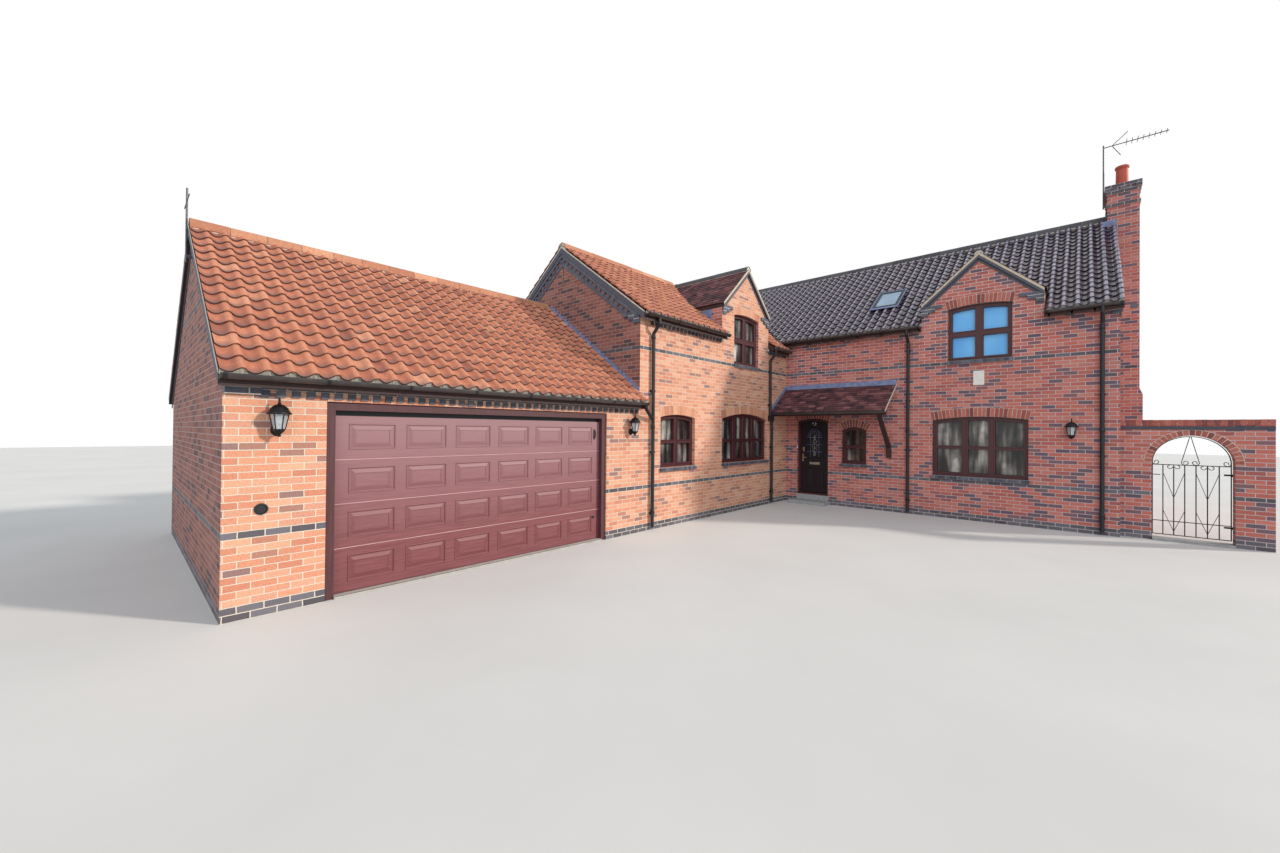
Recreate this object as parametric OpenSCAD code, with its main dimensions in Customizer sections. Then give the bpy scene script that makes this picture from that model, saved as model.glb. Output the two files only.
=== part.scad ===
// Detached brick house with a garage wing, two wall dormers, a lean-to porch,
// an outside chimney and a garden wall with an arched gate.
// Millimetres. The origin is on the ground at the inner corner of the two front walls:
// +X runs right along the main front wall, +Y runs to the back, +Z is up.

/* [Plan] */
// length of the main front wall to the right of the inner corner
main_w = 6790; // [5400:10:9000]
// depth of the main block, front to back
main_d = 7400; // [6000:10:9000]
// length of the two-storey wing in front of the main block
wing_l = 6180; // [5600:10:8000]
// depth of the two-storey wing, across its ridge
wing_d = 4800; // [4200:10:5600]
// length of the garage along the wing
garage_l = 6100; // [5600:10:8000]
// depth of the garage, across its ridge
garage_d = 6000; // [5400:10:7000]
// thickness of the outside walls
wall_t = 300; // [250:5:350]

/* [Heights] */
// top of the ground floors
floor_z = 225; // [150:5:270]
// thickness of the garage floor
garage_floor_z = 30; // [20:5:100]
// underside of the upper floors
upper_floor_z = 2560; // [2450:10:2700]
// thickness of the upper floors
upper_floor_t = 190; // [150:10:250]
// height of the blue band that the upper sills stand on
band_z = 3600; // [3500:25:3800]

/* [Roofs] */
// pitch of the main, wing, garage and porch roofs
roof_pitch = 36; // [30:1:40]
// thickness of the tiled roofs, measured upright
roof_v = 140; // [120:10:240]
// height of the main tiles over the outside of the wall
main_roof_z = 4600; // [4500:10:4800]
// height of the wing tiles over the outside of the wall
wing_roof_z = 4330; // [4250:10:4450]
// height of the garage tiles over the outside of the wall
garage_roof_z = 2610; // [2580:10:2900]
// how far the eaves stand out from the walls
eave_out = 150; // [100:10:250]
// how far the verges stand out from the gables
verge_out = 50; // [20:5:100]
// half width of a ridge tile
ridge_half = 135; // [90:5:160]
// height of a ridge tile over the ridge
ridge_up = 105; // [60:5:130]

/* [Wall dormers] */
// half width of both wall dormers
dormer_half = 1125; // [1000:5:1250]
// thickness of the dormer roofs, measured upright
dormer_v = 110; // [90:5:180]
// thickness of the dormer cheeks
cheek_t = 100; // [70:5:150]
// centre of the dormer in the main front wall
main_dormer_x = 4550; // [4300:10:4800]
// ridge height of the main dormer
main_dormer_top = 5970; // [5800:10:6200]
// height of the main dormer tiles over its sides
main_dormer_eave = 4970; // [4900:10:5100]
// centre of the dormer in the wing front wall
wing_dormer_y = -2210; // [-2500:10:-2000]
// ridge height of the wing dormer
wing_dormer_top = 6040; // [5800:10:6100]
// height of the wing dormer tiles over its sides
wing_dormer_eave = 4990; // [4900:10:5100]

/* [Windows] */
// how far the frames are set back from the wall face
reveal = 80; // [40:5:140]
// depth of the window frames
frame_d = 60; // [45:5:90]
// width of the frame members round the edge
frame_w = 60; // [45:5:80]
// thickness of the glass sheets
glass_t = 12; // [6:1:24]
// width of the mullions of the large and wide windows
mullion_w = 74; // [60:2:90]
// width of the mullion of the narrow windows
narrow_mullion_w = 80; // [60:2:100]
// width of the mullion and height of the transom of the dormer windows
dormer_bar = 102; // [80:2:120]
// height of the ground floor transoms
transom_t = 46; // [36:2:60]
// height of a sill
sill_h = 75; // [50:5:100]
// how far a sill stands out from the wall
sill_out = 45; // [20:5:70]
// width of the large window beside the porch
big_w = 1765; // [1500:5:2000]
// centre of the large window beside the porch
big_x = 4538; // [4400:2:4700]
// sill height of the large window
big_z = 975; // [900:25:1100]
// height where the ground floor arches spring
spring_z = 2250; // [2150:10:2300]
// rise of the large window's arch
big_rise = 78; // [50:2:120]
// distance from the large window's sides to its mullions
big_side = 633; // [500:1:700]
// height of the large window's transom
big_transom = 1632; // [1500:2:1800]
// width of the small window by the door
small_w = 618; // [500:2:700]
// centre of the small window
small_x = 1874; // [1800:2:2000]
// sill height of the small window
small_z = 1130; // [1050:10:1250]
// springing height of the small window
small_spring = 2000; // [1900:10:2100]
// rise of the small window's arch
small_rise = 90; // [60:2:120]
// height of the small window's transom
small_transom = 1573; // [1450:1:1700]
// width of the wide window in the wing
wide_w = 2200; // [1900:10:2300]
// rise of the wide window's arch
wide_rise = 140; // [90:5:180]
// distance from the wide window's sides to its outer mullions
wide_side = 645; // [500:1:700]
// sill height of the wing windows
wing_sill_z = 1200; // [1100:25:1300]
// height of the transoms of the wing windows
wing_transom = 1730; // [1600:5:1850]
// width of the narrow window in the wing
narrow_w = 1170; // [1000:10:1300]
// centre of the narrow window in the wing
narrow_y = -4970; // [-5060:10:-4800]
// rise of the narrow window's arch
narrow_rise = 60; // [40:2:90]
// width of the dormer windows
dormer_win_w = 1190; // [1000:10:1300]
// springing height of the dormer windows
dormer_spring = 4795; // [4650:5:4850]
// rise of the dormer windows' arches
dormer_rise = 60; // [30:2:100]
// height of the dormer windows' transoms
dormer_transom = 4215; // [4100:5:4350]
// distance from the house's right corner to the first back window's centre
back_win_in = 1900; // [1400:10:2400]
// distance from the middle of the main front to the second back window's centre
back_win_mid = 900; // [700:10:1200]

/* [Front door] */
// width of the front doorway
door_w = 875; // [800:5:1000]
// centre of the front doorway
door_x = 772; // [750:2:850]
// rise of the doorway arch
door_rise = 72; // [50:2:100]
// width of the door frame members
door_frame_w = 55; // [45:5:70]
// depth of the door frame
door_frame_d = 110; // [80:5:140]
// thickness of the door leaf
leaf_t = 46; // [38:1:60]
// gap round the door leaf
leaf_gap = 8; // [6:1:12]
// height of the weather bar that the door closes over
threshold_h = 50; // [30:5:60]
// depth of the doorstep
step_d = 420; // [300:10:600]
// width of the doorstep
step_w = 1000; // [900:10:1400]
// height of the doorstep
step_h = 95; // [60:5:150]

/* [Garage door] */
// width of the garage doorway
gdoor_w = 4340; // [4000:10:4800]
// distance from the garage's near corner to the doorway
gdoor_start = 900; // [700:10:1100]
// height of the garage doorway
gdoor_h = 2255; // [2100:5:2290]
// width of the garage door frame
gframe_w = 95; // [70:5:120]
// how far the garage door leaf is set back
gdoor_back = 105; // [80:5:150]
// thickness of the garage door leaf
gdoor_t = 40; // [30:5:60]
// number of sections in the garage door
gdoor_rows = 4; // [3:1:5]
// number of panels in a section
gdoor_cols = 6; // [4:1:8]
// gap over the closed garage door leaf
gdoor_top_gap = 60; // [10:5:90]
// plain edge of the leaf outside its first and last panels
panel_edge = 95; // [60:5:150]
// gap between two panels of a section
panel_gap = 153; // [80:1:250]
// height of the panels
panel_h = 288; // [200:2:340]
// height of the panels' feet over the foot of their section
panel_foot = 130; // [60:2:180]
// width of the sunk border round each panel's field
panel_border = 68; // [40:2:90]
// depth of the sunk border
panel_sink = 8; // [4:1:14]

/* [Porch] */
// length of the porch roof
porch_w = 2880; // [2500:10:3200]
// depth of the porch roof
porch_d = 900; // [700:10:1100]
// height of the porch tiles at the wall
porch_z = 3130; // [3050:10:3200]
// thickness of the porch roof, measured upright
porch_v = 50; // [40:5:130]
// depth of the beam under the porch eaves
porch_beam_h = 55; // [40:5:140]
// height of the foot of the porch brace
brace_z = 1500; // [1300:10:1700]
// size of the timbers of the porch
porch_post = 90; // [70:5:110]

/* [Chimney] */
// how far the lower chimney breast stands out from the gable
breast_out = 490; // [400:10:600]
// width of the lower chimney breast
breast_w = 1100; // [900:10:1300]
// set-back of the breast above its shoulders, on each side
shoulder = 50; // [30:5:80]
// height where the shoulders start
shoulder_z = 2900; // [2600:25:3100]
// how far the stack reaches back over the gable wall
stack_in = 110; // [60:5:150]
// height of the top of the stack
stack_top = 7950; // [7700:25:8400]
// outer radius of the chimney pot
pot_r = 118; // [90:2:140]
// height of the chimney pot
pot_h = 600; // [300:10:700]

/* [Garden wall] */
// how far the garden wall is set back from the main front wall
garden_back = 200; // [100:10:400]
// thickness of the garden wall
garden_t = 215; // [200:5:330]
// length of the garden wall from the house corner to the gateway
garden_pier = 430; // [300:10:600]
// length of the garden wall beyond the gateway
garden_end = 430; // [300:10:900]
// height of the garden wall to the top of its coping
garden_h = 2235; // [2100:5:2500]
// height of the brick-on-edge coping
coping_h = 105; // [80:5:120]
// width of the gateway
gate_w = 1000; // [900:10:1200]
// height where the gateway arch springs
gate_spring = 1450; // [1300:10:1500]
// height of the stone step under the gate
gate_step_h = 45; // [30:5:80]
// gap round the gate leaf
gate_gap = 12; // [8:1:20]
// thickness of the gate's bars
gate_bar = 14; // [10:1:20]
// number of upright bars in the gate
gate_bars = 8; // [5:1:10]

/* [Rainwater goods] */
// radius of the half-round gutters
gutter_r = 56; // [45:1:65]
// wall of the gutters
gutter_t = 5; // [3:1:8]
// radius of the downpipes
pipe_r = 34; // [28:1:42]
// height of the eaves' edge over the rim of the gutter
gutter_drop = 22; // [10:2:60]
// gap between a downpipe and the wall
pipe_gap = 22; // [15:1:40]
// height of the rainwater hopper beside the porch
hopper_h = 150; // [120:5:200]
// drop of a downpipe's outlet below the gutter
neck_drop = 110; // [80:5:160]
// distance from the wing's near corner to its downpipe
pipe_wing_in = 330; // [200:10:400]
// distance from the end of the porch roof to the next downpipe
pipe_porch_off = 270; // [150:10:400]
// distance from the house's right corner to the right downpipe
pipe_right_in = 250; // [150:10:400]
// distance from the back corners to the downpipes at the back
pipe_back_in = 400; // [200:10:600]

/* [Fittings] */
// height of the foot of the wall lanterns
lantern_z = 1860; // [1700:10:2000]
// distance from the wall to the middle of a lantern
lantern_out = 120; // [100:5:160]
// height of a lantern's glass
lantern_h = 160; // [120:5:220]
// half width of a lantern at the top of its glass
lantern_r = 82; // [60:1:100]
// distance from the garage's near corner to the first lantern
lantern_near = 440; // [200:10:700]
// distance from the wing's gable to the second lantern
lantern_far = 250; // [150:10:400]
// distance from the house's right corner to the third lantern
lantern_right = 695; // [500:5:900]
// distance of the rooflight from the inner corner
skylight_x = 2050; // [1800:10:2400]
// distance up the plan of the roof to the foot of the rooflight
skylight_y = 870; // [600:10:1200]
// width of the rooflight
skylight_w = 620; // [500:10:800]
// length of the rooflight up the slope
skylight_l = 980; // [780:10:1200]
// height of the rooflight's frame over the roof
skylight_h = 95; // [60:5:120]
// width of the rooflight's frame members
skylight_rim = 60; // [40:5:80]
// height of the television mast over the chimney stack
mast_up = 1130; // [800:10:1300]
// length of the television aerial's boom
boom_l = 1100; // [800:10:1200]

/* [Hidden] */
$fn = 48;
// height of a brick course with its joint
course = 75;
// the joint left between solids that meet but stay apart
hair = 0.3;
t = tan(roof_pitch);
main_ridge_z = main_roof_z + t * main_d / 2;
wing_ridge_z = wing_roof_z + t * wing_d / 2;
garage_ridge_z = garage_roof_z + t * garage_d / 2;
garage_y0 = -wing_l - garage_l;
gdoor_y0 = garage_y0 + gdoor_start;
main_td = (main_dormer_top - main_dormer_eave) / dormer_half;
wing_td = (wing_dormer_top - wing_dormer_eave) / dormer_half;
// where the wing roof meets the main roof: y = -x - valley_c on the front side
valley_c = (main_roof_z - wing_roof_z) / t;
wing_ridge_y = wing_d / 2 - valley_c;
breast_y0 = main_d / 2 - breast_w / 2;
stack_y0 = breast_y0 + shoulder;
stack_y1 = breast_y0 + breast_w - shoulder;
stack_x0 = main_w - stack_in;
stack_x1 = main_w + breast_out - shoulder;
stack_seat_z = main_ridge_z - roof_v - t * (breast_w / 2 - shoulder) - 2 * course;
// over everything, for shapes that cut upright through the roofs
cut_top = 2 * stack_top;
gx0 = main_w + garden_pier;
gx1 = gx0 + gate_w;
gate_r = gate_w / 2;

brick = [0.69, 0.36, 0.28];
blue = [0.22, 0.22, 0.27];
tile = [0.62, 0.33, 0.22];
dark_tile = [0.30, 0.25, 0.27];
maroon = [0.27, 0.08, 0.08];
black = [0.06, 0.06, 0.07];
timber = [0.16, 0.08, 0.07];

// helpers: elevations drawn flat and stood up in the wall planes

// 2D x is world x, 2D y is world z, filling y0 to y0 + d
module in_y(y0, d) {
    translate([0, y0 + d, 0]) rotate([90, 0, 0]) linear_extrude(d) children();
}

// 2D x is world y, 2D y is world z, filling x0 to x0 + d
module in_x(x0, d) {
    translate([x0, 0, 0]) rotate([90, 0, 90]) linear_extrude(d) children();
}

module plan(z0, z1, pts) {
    translate([0, 0, z0]) linear_extrude(z1 - z0) polygon(pts);
}

// an opening with a segmental head: centre c, width w, from z0 to the springing zs
module arched(c, w, z0, zs, rise) {
    r = (w * w / 4 + rise * rise) / (2 * rise);
    translate([c - w / 2, z0]) square([w, zs - z0]);
    intersection() {
        translate([c, zs + rise - r]) circle(r, $fn = 96);
        translate([c - w / 2, zs - 1]) square([w, rise + 2]);
    }
}

// the same opening made smaller by g all round
module arched_in(c, w, z0, zs, rise, g) {
    r = (w * w / 4 + rise * rise) / (2 * rise);
    intersection() {
        translate([c, zs + rise - r]) circle(r - g, $fn = 96);
        translate([c - w / 2 + g, zs - rise - 1]) square([w - 2 * g, 2 * rise + 2]);
    }
    translate([c - w / 2 + g, z0 + g]) square([w - 2 * g, zs - rise - z0 - g]);
}

// a frame for that opening: mull and trans list the bar centres
module frame_2d(c, w, z0, zs, rise, mull, mw, trans, th) {
    difference() {
        arched(c, w, z0, zs, rise);
        difference() {
            arched_in(c, w, z0, zs, rise, frame_w);
            for (m = mull) translate([c + m - mw / 2, z0]) square([mw, zs - z0 + rise]);
            for (h = trans) translate([c - w / 2, h - th / 2]) square([w, th]);
        }
    }
}

// the windows: one list a wall, [centre, width, foot, springing, rise, bars]
win_big_bars = [-big_w / 2 + big_side, big_w / 2 - big_side];
win_main = [
    [big_x, big_w, big_z, spring_z, big_rise, win_big_bars, mullion_w, [big_transom], transom_t],
    [small_x, small_w, small_z, small_spring, small_rise, [], 0, [small_transom], transom_t]];
win_wing = [
    [wing_dormer_y, wide_w, wing_sill_z, spring_z, wide_rise,
        [-wide_w / 2 + wide_side, 0, wide_w / 2 - wide_side], mullion_w,
        [wing_transom], transom_t],
    [narrow_y, narrow_w, wing_sill_z, spring_z - 20, narrow_rise, [0], narrow_mullion_w,
        [wing_transom], transom_t]];
win_dormer = [0, dormer_win_w, band_z, dormer_spring, dormer_rise, [0], dormer_bar,
    [dormer_transom], dormer_bar];
// one narrow window whose centre and foot are given
function plain_win(c, z, bar) = [c, narrow_w, z, spring_z, narrow_rise, [0], narrow_mullion_w,
    [bar], transom_t];
function big_win(c) = [c, big_w, big_z, spring_z, big_rise, win_big_bars, mullion_w,
    [big_transom], transom_t];
win_rear = [big_win(main_w - back_win_in), big_win(main_w / 2 - back_win_mid),
    plain_win(-wing_d / 2, big_z, big_transom)];
win_wing_rear = [plain_win(-wing_l / 2, wing_sill_z, wing_transom)];
win_left = [[main_d / 2, dormer_win_w, band_z, dormer_spring, dormer_rise, [0], dormer_bar,
    [dormer_transom], dormer_bar], plain_win(main_d / 2, wing_sill_z, wing_transom)];

module hole(w) {
    arched(w[0], w[1], w[2], w[3], w[4]);
}

module win_frame(w) {
    frame_2d(w[0], w[1], w[2], w[3], w[4], w[5], w[6], w[7], w[8]);
}

module win_sill(w) {
    translate([w[0] - w[1] / 2 - 20, w[2] - sill_h]) square([w[1] + 40, sill_h]);
}

// walls

// the slit that airs the roof space, drawn about the ridge of a gable
vent_w = 60;
vent_h = 330;
vent_drop = 780;

module vent_2d() {
    translate([-vent_w / 2, -vent_drop]) square([vent_w, vent_h]);
}

// the tops of the walls under each roof, by the distance in from the wall's face
function main_under(d) = main_roof_z - roof_v - hair + t * d;
function wing_under(d) = wing_roof_z - roof_v - hair + t * d;
function garage_under(d) = garage_roof_z - roof_v - hair + t * d;

module garage_gable_wall() {
    color(brick) difference() {
        in_y(garage_y0, wall_t) polygon([[-garage_d, 0], [0, 0], [0, garage_under(0)],
            [-garage_d / 2, garage_under(garage_d / 2)], [-garage_d, garage_under(0)]]);
        in_y(garage_y0 - 1, wall_t + 2) translate([-garage_d / 2, garage_ridge_z]) vent_2d();
    }
}

module garage_strip(y0, y1, z0) {
    in_y(y0, y1 - y0) polygon([[0, z0], [0, garage_under(0)],
        [-wall_t, garage_under(wall_t)], [-wall_t, z0]]);
}

module garage_piers() {
    color(brick) {
        garage_strip(garage_y0 + wall_t, gdoor_y0, 0);
        garage_strip(gdoor_y0 + gdoor_w, -wing_l, 0);
    }
}

// the walls over the garage doorway and over the front doorway
module door_head_walls() {
    color(brick) {
        garage_strip(gdoor_y0, gdoor_y0 + gdoor_w, gdoor_h);
        difference() {
            main_strip(door_x - door_w / 2, door_x + door_w / 2, spring_z);
            in_y(-1, wall_t + 2) arched(door_x, door_w, floor_z, spring_z, door_rise);
        }
    }
}

// the back walls of the garage and of the wing
module rear_side_walls() {
    color(brick) {
        in_y(garage_y0 + wall_t, garage_l - wall_t) polygon([[-garage_d, 0],
            [-garage_d + wall_t, 0], [-garage_d + wall_t, garage_under(wall_t)],
            [-garage_d, garage_under(0)]]);
        difference() {
            in_y(-wing_l + wall_t, wing_l - wall_t) polygon([[-wing_d, 0],
                [-wing_d + wall_t, 0], [-wing_d + wall_t, wing_under(wall_t)],
                [-wing_d, wing_under(0)]]);
            for (w = win_wing_rear) in_x(-wing_d - 1, wall_t + 2) hole(w);
        }
    }
}

module wing_gable_wall() {
    color(brick) difference() {
        union() {
            in_y(-wing_l, wall_t) polygon([[-wing_d, 0], [0, 0], [0, wing_under(0)],
                [-wing_d / 2, wing_under(wing_d / 2)], [-wing_d, wing_under(0)]]);
            in_y(-wing_l, wall_t) polygon([[-garage_d, 0], [-wing_d + 1, 0],
                [-wing_d + 1, garage_under(garage_d - wing_d)],
                [-garage_d, garage_under(0)]]);
        }
        in_y(-wing_l - 1, wall_t + 2) translate([-wing_d / 2, wing_ridge_z]) vent_2d();
    }
}

module wing_strip(y0, y1, z0) {
    in_y(y0, y1 - y0) polygon([[0, z0], [0, wing_under(0)], [-wall_t, wing_under(wall_t)],
        [-wall_t, z0]]);
}

module wing_front_wall() {
    color(brick) {
        difference() {
            translate([-wall_t, -wing_l + wall_t, 0])
                cube([wall_t, wing_l - wall_t, band_z]);
            for (w = win_wing) in_x(-wall_t - 1, wall_t + 2) hole(w);
        }
        wing_strip(-wing_l + wall_t, wing_dormer_y - dormer_half, band_z);
        wing_strip(wing_dormer_y + dormer_half, 0, band_z);
    }
}

module main_strip(x0, x1, z0) {
    in_x(x0, x1 - x0) polygon([[0, z0], [wall_t, z0], [wall_t, main_under(wall_t)],
        [0, main_under(0)]]);
}

// the front wall between the wing and the doorway
module main_front_pier() {
    color(brick) main_strip(-wall_t, door_x - door_w / 2, 0);
}

// the front wall to the right of the doorway
module main_front_wall() {
    d1 = door_x + door_w / 2;
    color(brick) {
        difference() {
            translate([d1, 0, 0]) cube([main_w - d1, wall_t, band_z]);
            for (w = win_main) in_y(-1, wall_t + 2) hole(w);
        }
        main_strip(d1, main_dormer_x - dormer_half, band_z);
        main_strip(main_dormer_x + dormer_half, main_w, band_z);
    }
}

module main_right_gable() {
    color(brick) difference() {
        in_x(main_w - wall_t, wall_t) polygon([[wall_t, 0], [main_d - wall_t, 0],
            [main_d - wall_t, main_under(wall_t)], [main_d / 2, main_under(main_d / 2)],
            [wall_t, main_under(wall_t)]]);
        translate([stack_x0, stack_y0, stack_seat_z])
            cube([wall_t, stack_y1 - stack_y0, main_d]);
    }
}

module main_left_gable() {
    color(brick) difference() {
        in_x(-wing_d, wall_t) polygon([[0, 0], [main_d - wall_t, 0],
            [main_d - wall_t, main_under(wall_t)], [main_d / 2, main_under(main_d / 2)],
            [0, main_under(0)]]);
        for (w = win_left) in_x(-wing_d - 1, wall_t + 2) hole(w);
    }
}

module main_rear_wall() {
    color(brick) difference() {
        in_x(-wing_d, wing_d + main_w) polygon([[main_d - wall_t, 0], [main_d, 0],
            [main_d, main_under(0)], [main_d - wall_t, main_under(wall_t)]]);
        for (w = win_rear) in_y(main_d - wall_t - 1, wall_t + 2) hole(w);
    }
}

// a dormer's gable wall drawn about its centre, with its window cut out
module dormer_wall_2d(top, eave) {
    difference() {
        polygon([[-dormer_half, band_z], [dormer_half, band_z],
            [dormer_half, eave - dormer_v - hair], [0, top - dormer_v - hair],
            [-dormer_half, eave - dormer_v - hair]]);
        hole(win_dormer);
    }
}

module dormer_walls() {
    color(brick) {
        in_y(0, wall_t) translate([main_dormer_x, 0])
            dormer_wall_2d(main_dormer_top, main_dormer_eave);
        in_x(-wall_t, wall_t) translate([wing_dormer_y, 0])
            dormer_wall_2d(wing_dormer_top, wing_dormer_eave);
    }
}

// where the side of each dormer meets the roof behind it
main_side_y = (main_dormer_eave - main_roof_z) / t;
main_top_y = (main_dormer_top - main_roof_z) / t;
wing_side_x = -(wing_dormer_eave - wing_roof_z) / t;
wing_top_x = -(wing_dormer_top - wing_roof_z) / t;

module dormer_cheeks() {
    mh = main_dormer_eave - dormer_v - hair;
    wh = wing_dormer_eave - dormer_v - hair;
    color(brick) {
        for (s = [0, 1]) in_x(main_dormer_x - dormer_half + s * (2 * dormer_half - cheek_t),
            cheek_t) polygon([[wall_t, main_under(wall_t)],
            [main_side_y, main_under(main_side_y)], [main_side_y, mh], [wall_t, mh]]);
        for (s = [0, 1]) in_y(wing_dormer_y - dormer_half + s * (2 * dormer_half - cheek_t),
            cheek_t) polygon([[-wall_t, wing_under(wall_t)],
            [wing_side_x, wing_under(-wing_side_x)], [wing_side_x, wh], [-wall_t, wh]]);
    }
}

// roofs: each slope is a sloping slab cut to its outline on the plan

// one slope in section: it falls by k from the ridge at z over a run to the eaves,
// and stops a hair short of the ridge so that the two slopes stay apart
module slope_2d(z, run, k, v) {
    polygon([[hair, z - k * hair], [run, z - k * run], [run, z - k * run - v],
        [hair, z - k * hair - v]]);
}

module garage_roof() {
    y0 = garage_y0 - verge_out;
    color(tile) for (s = [0, 1]) in_y(y0, -wing_l - y0) translate([-garage_d / 2, 0])
        mirror([s, 0]) slope_2d(garage_ridge_z, garage_d / 2 + eave_out, t, roof_v);
}

// side 0 faces +X and side 1 faces -X
module wing_slab(side) {
    in_y(-wing_l - verge_out, wing_l + verge_out + wing_d) translate([-wing_d / 2, 0])
        mirror([side, 0]) slope_2d(wing_ridge_z, wing_d / 2 + eave_out, t, roof_v);
}

module wing_roof() {
    c = wing_dormer_y;
    h = dormer_half;
    y0 = -wing_l - verge_out - 1;
    vx = eave_out - valley_c;
    color(tile) {
        difference() {
            intersection() {
                wing_slab(0);
                plan(0, cut_top, [[eave_out + 1, y0], [eave_out + 1, -eave_out],
                    [vx, -eave_out], [-wing_d / 2, wing_ridge_y], [-wing_d / 2, y0]]);
            }
            plan(0, cut_top, [[eave_out + 2, c - h], [wing_side_x, c - h], [wing_top_x, c],
                [wing_side_x, c + h], [eave_out + 2, c + h]]);
        }
        intersection() {
            wing_slab(1);
            plan(0, cut_top, [[-wing_d - eave_out - 1, y0],
                [-wing_d - eave_out - 1, -eave_out], [-wing_d - vx, -eave_out],
                [-wing_d / 2, wing_ridge_y], [-wing_d / 2, y0]]);
        }
    }
}

// side 0 is the back slope and side 1 is the front slope
module main_slab(side) {
    in_x(-wing_d - verge_out, wing_d + main_w + 2 * verge_out) translate([main_d / 2, 0])
        mirror([side, 0]) slope_2d(main_ridge_z, main_d / 2 + eave_out, t, roof_v);
}

module stack_cut() {
    translate([stack_x0, stack_y0, 0]) cube([main_w, stack_y1 - stack_y0, cut_top]);
}

module main_roof() {
    c = main_dormer_x;
    h = dormer_half;
    vx = eave_out - valley_c;
    color(dark_tile) {
        difference() {
            main_slab(1);
            plan(0, cut_top, [[vx, -eave_out - 1], [vx, -eave_out], [-wing_d / 2, wing_ridge_y],
                [-wing_d - vx, -eave_out], [-wing_d - vx, -eave_out - 1]]);
            plan(0, cut_top, [[c - h, -eave_out - 2], [c - h, main_side_y], [c, main_top_y],
                [c + h, main_side_y], [c + h, -eave_out - 2]]);
            stack_cut();
        }
        difference() {
            main_slab(0);
            stack_cut();
        }
    }
}

// one dormer slope before its back end is cut: it runs d deep behind the front
module dormer_slope(s, top, eave, d, side_d) {
    h = dormer_half;
    intersection() {
        in_y(-verge_out, d + verge_out) mirror([s, 0])
            slope_2d(top, h, (top - eave) / h, dormer_v);
        mirror([s, 0, 0]) plan(0, main_ridge_z, [[0, -verge_out - 1],
            [h + 1, -verge_out - 1], [h + 1, side_d], [h, side_d], [0, d]]);
    }
}

module dormer_roofs() {
    color(dark_tile) for (s = [0, 1]) {
        translate([main_dormer_x, 0, 0])
            dormer_slope(s, main_dormer_top, main_dormer_eave, main_top_y, main_side_y);
        translate([0, wing_dormer_y, 0]) rotate([0, 0, 90])
            dormer_slope(s, wing_dormer_top, wing_dormer_eave, -wing_top_x, -wing_side_x);
    }
}

// a ridge tile's cross-section over slopes that fall by k
module ridge_2d(k, w, up) {
    polygon([[-w, -k * w], [0, 0], [w, -k * w], [w * 0.98, up * 0.35 - k * w * 0.6],
        [w * 0.55, up * 0.82 - k * w * 0.12], [0, up],
        [-w * 0.55, up * 0.82 - k * w * 0.12], [-w * 0.98, up * 0.35 - k * w * 0.6]]);
}

module ridge_tiles() {
    dr = ridge_half * 0.8;
    // the dormer ridges run back until the feet of their tiles meet the roof
    wr = -(wing_dormer_top - wing_td * dr - wing_roof_z) / t;
    mr = (main_dormer_top - main_td * dr - main_roof_z) / t;
    color(tile) {
        in_y(garage_y0 - verge_out, garage_l + verge_out)
            translate([-garage_d / 2, garage_ridge_z + hair])
                ridge_2d(t, ridge_half, ridge_up);
        difference() {
            in_y(-wing_l - verge_out, wing_l + verge_out + wing_ridge_y - ridge_half)
                translate([-wing_d / 2, wing_ridge_z + hair])
                    ridge_2d(t, ridge_half, ridge_up);
            in_x(wing_top_x - hair, wing_d) translate([wing_dormer_y, wing_dormer_top + hair])
                polygon([[0, 0], [dormer_half, -wing_td * dormer_half], [0, -dormer_half * 2],
                [-dormer_half, -wing_td * dormer_half]]);
        }
        in_x(wr, verge_out - wr) translate([wing_dormer_y, wing_dormer_top + hair])
            ridge_2d(wing_td, dr, ridge_up * 0.8);
    }
    color(dark_tile) {
        in_x(-wing_d - verge_out, wing_d + verge_out + stack_x0)
            translate([main_d / 2, main_ridge_z + hair]) ridge_2d(t, ridge_half, ridge_up);
        in_y(-verge_out, mr + verge_out) translate([main_dormer_x, main_dormer_top + hair])
            ridge_2d(main_td, dr, ridge_up * 0.8);
    }
}

// floors

module ground_floors() {
    color([0.6, 0.58, 0.55]) {
        translate([-wing_d + wall_t, wall_t, 0])
            cube([wing_d + main_w - 2 * wall_t, main_d - 2 * wall_t, floor_z]);
        translate([-wing_d + wall_t, -wing_l + wall_t, 0])
            cube([wing_d - 2 * wall_t, wing_l - hair, floor_z]);
        translate([-garage_d + wall_t, garage_y0 + wall_t, 0])
            cube([garage_d - 2 * wall_t, garage_l - wall_t, garage_floor_z]);
    }
}

module upper_floors() {
    color([0.72, 0.62, 0.48]) {
        translate([-wing_d + wall_t, wall_t, upper_floor_z])
            cube([wing_d + main_w - 2 * wall_t, main_d - 2 * wall_t, upper_floor_t]);
        translate([-wing_d + wall_t, -wing_l + wall_t, upper_floor_z])
            cube([wing_d - 2 * wall_t, wing_l - hair, upper_floor_t]);
    }
}

// brick trim

dent_out = 22;
dent_step = 225;
dent_w = 103;

// a course of projecting brick ends under a plain course, along 2D x from 0 to l
module dentils(l, z) {
    n = floor((l - dent_w) / dent_step);
    translate([0, z + course]) square([l, course * 0.85]);
    for (i = [0 : n]) translate([i * dent_step, z]) square([dent_w, course + 1]);
}

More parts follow.
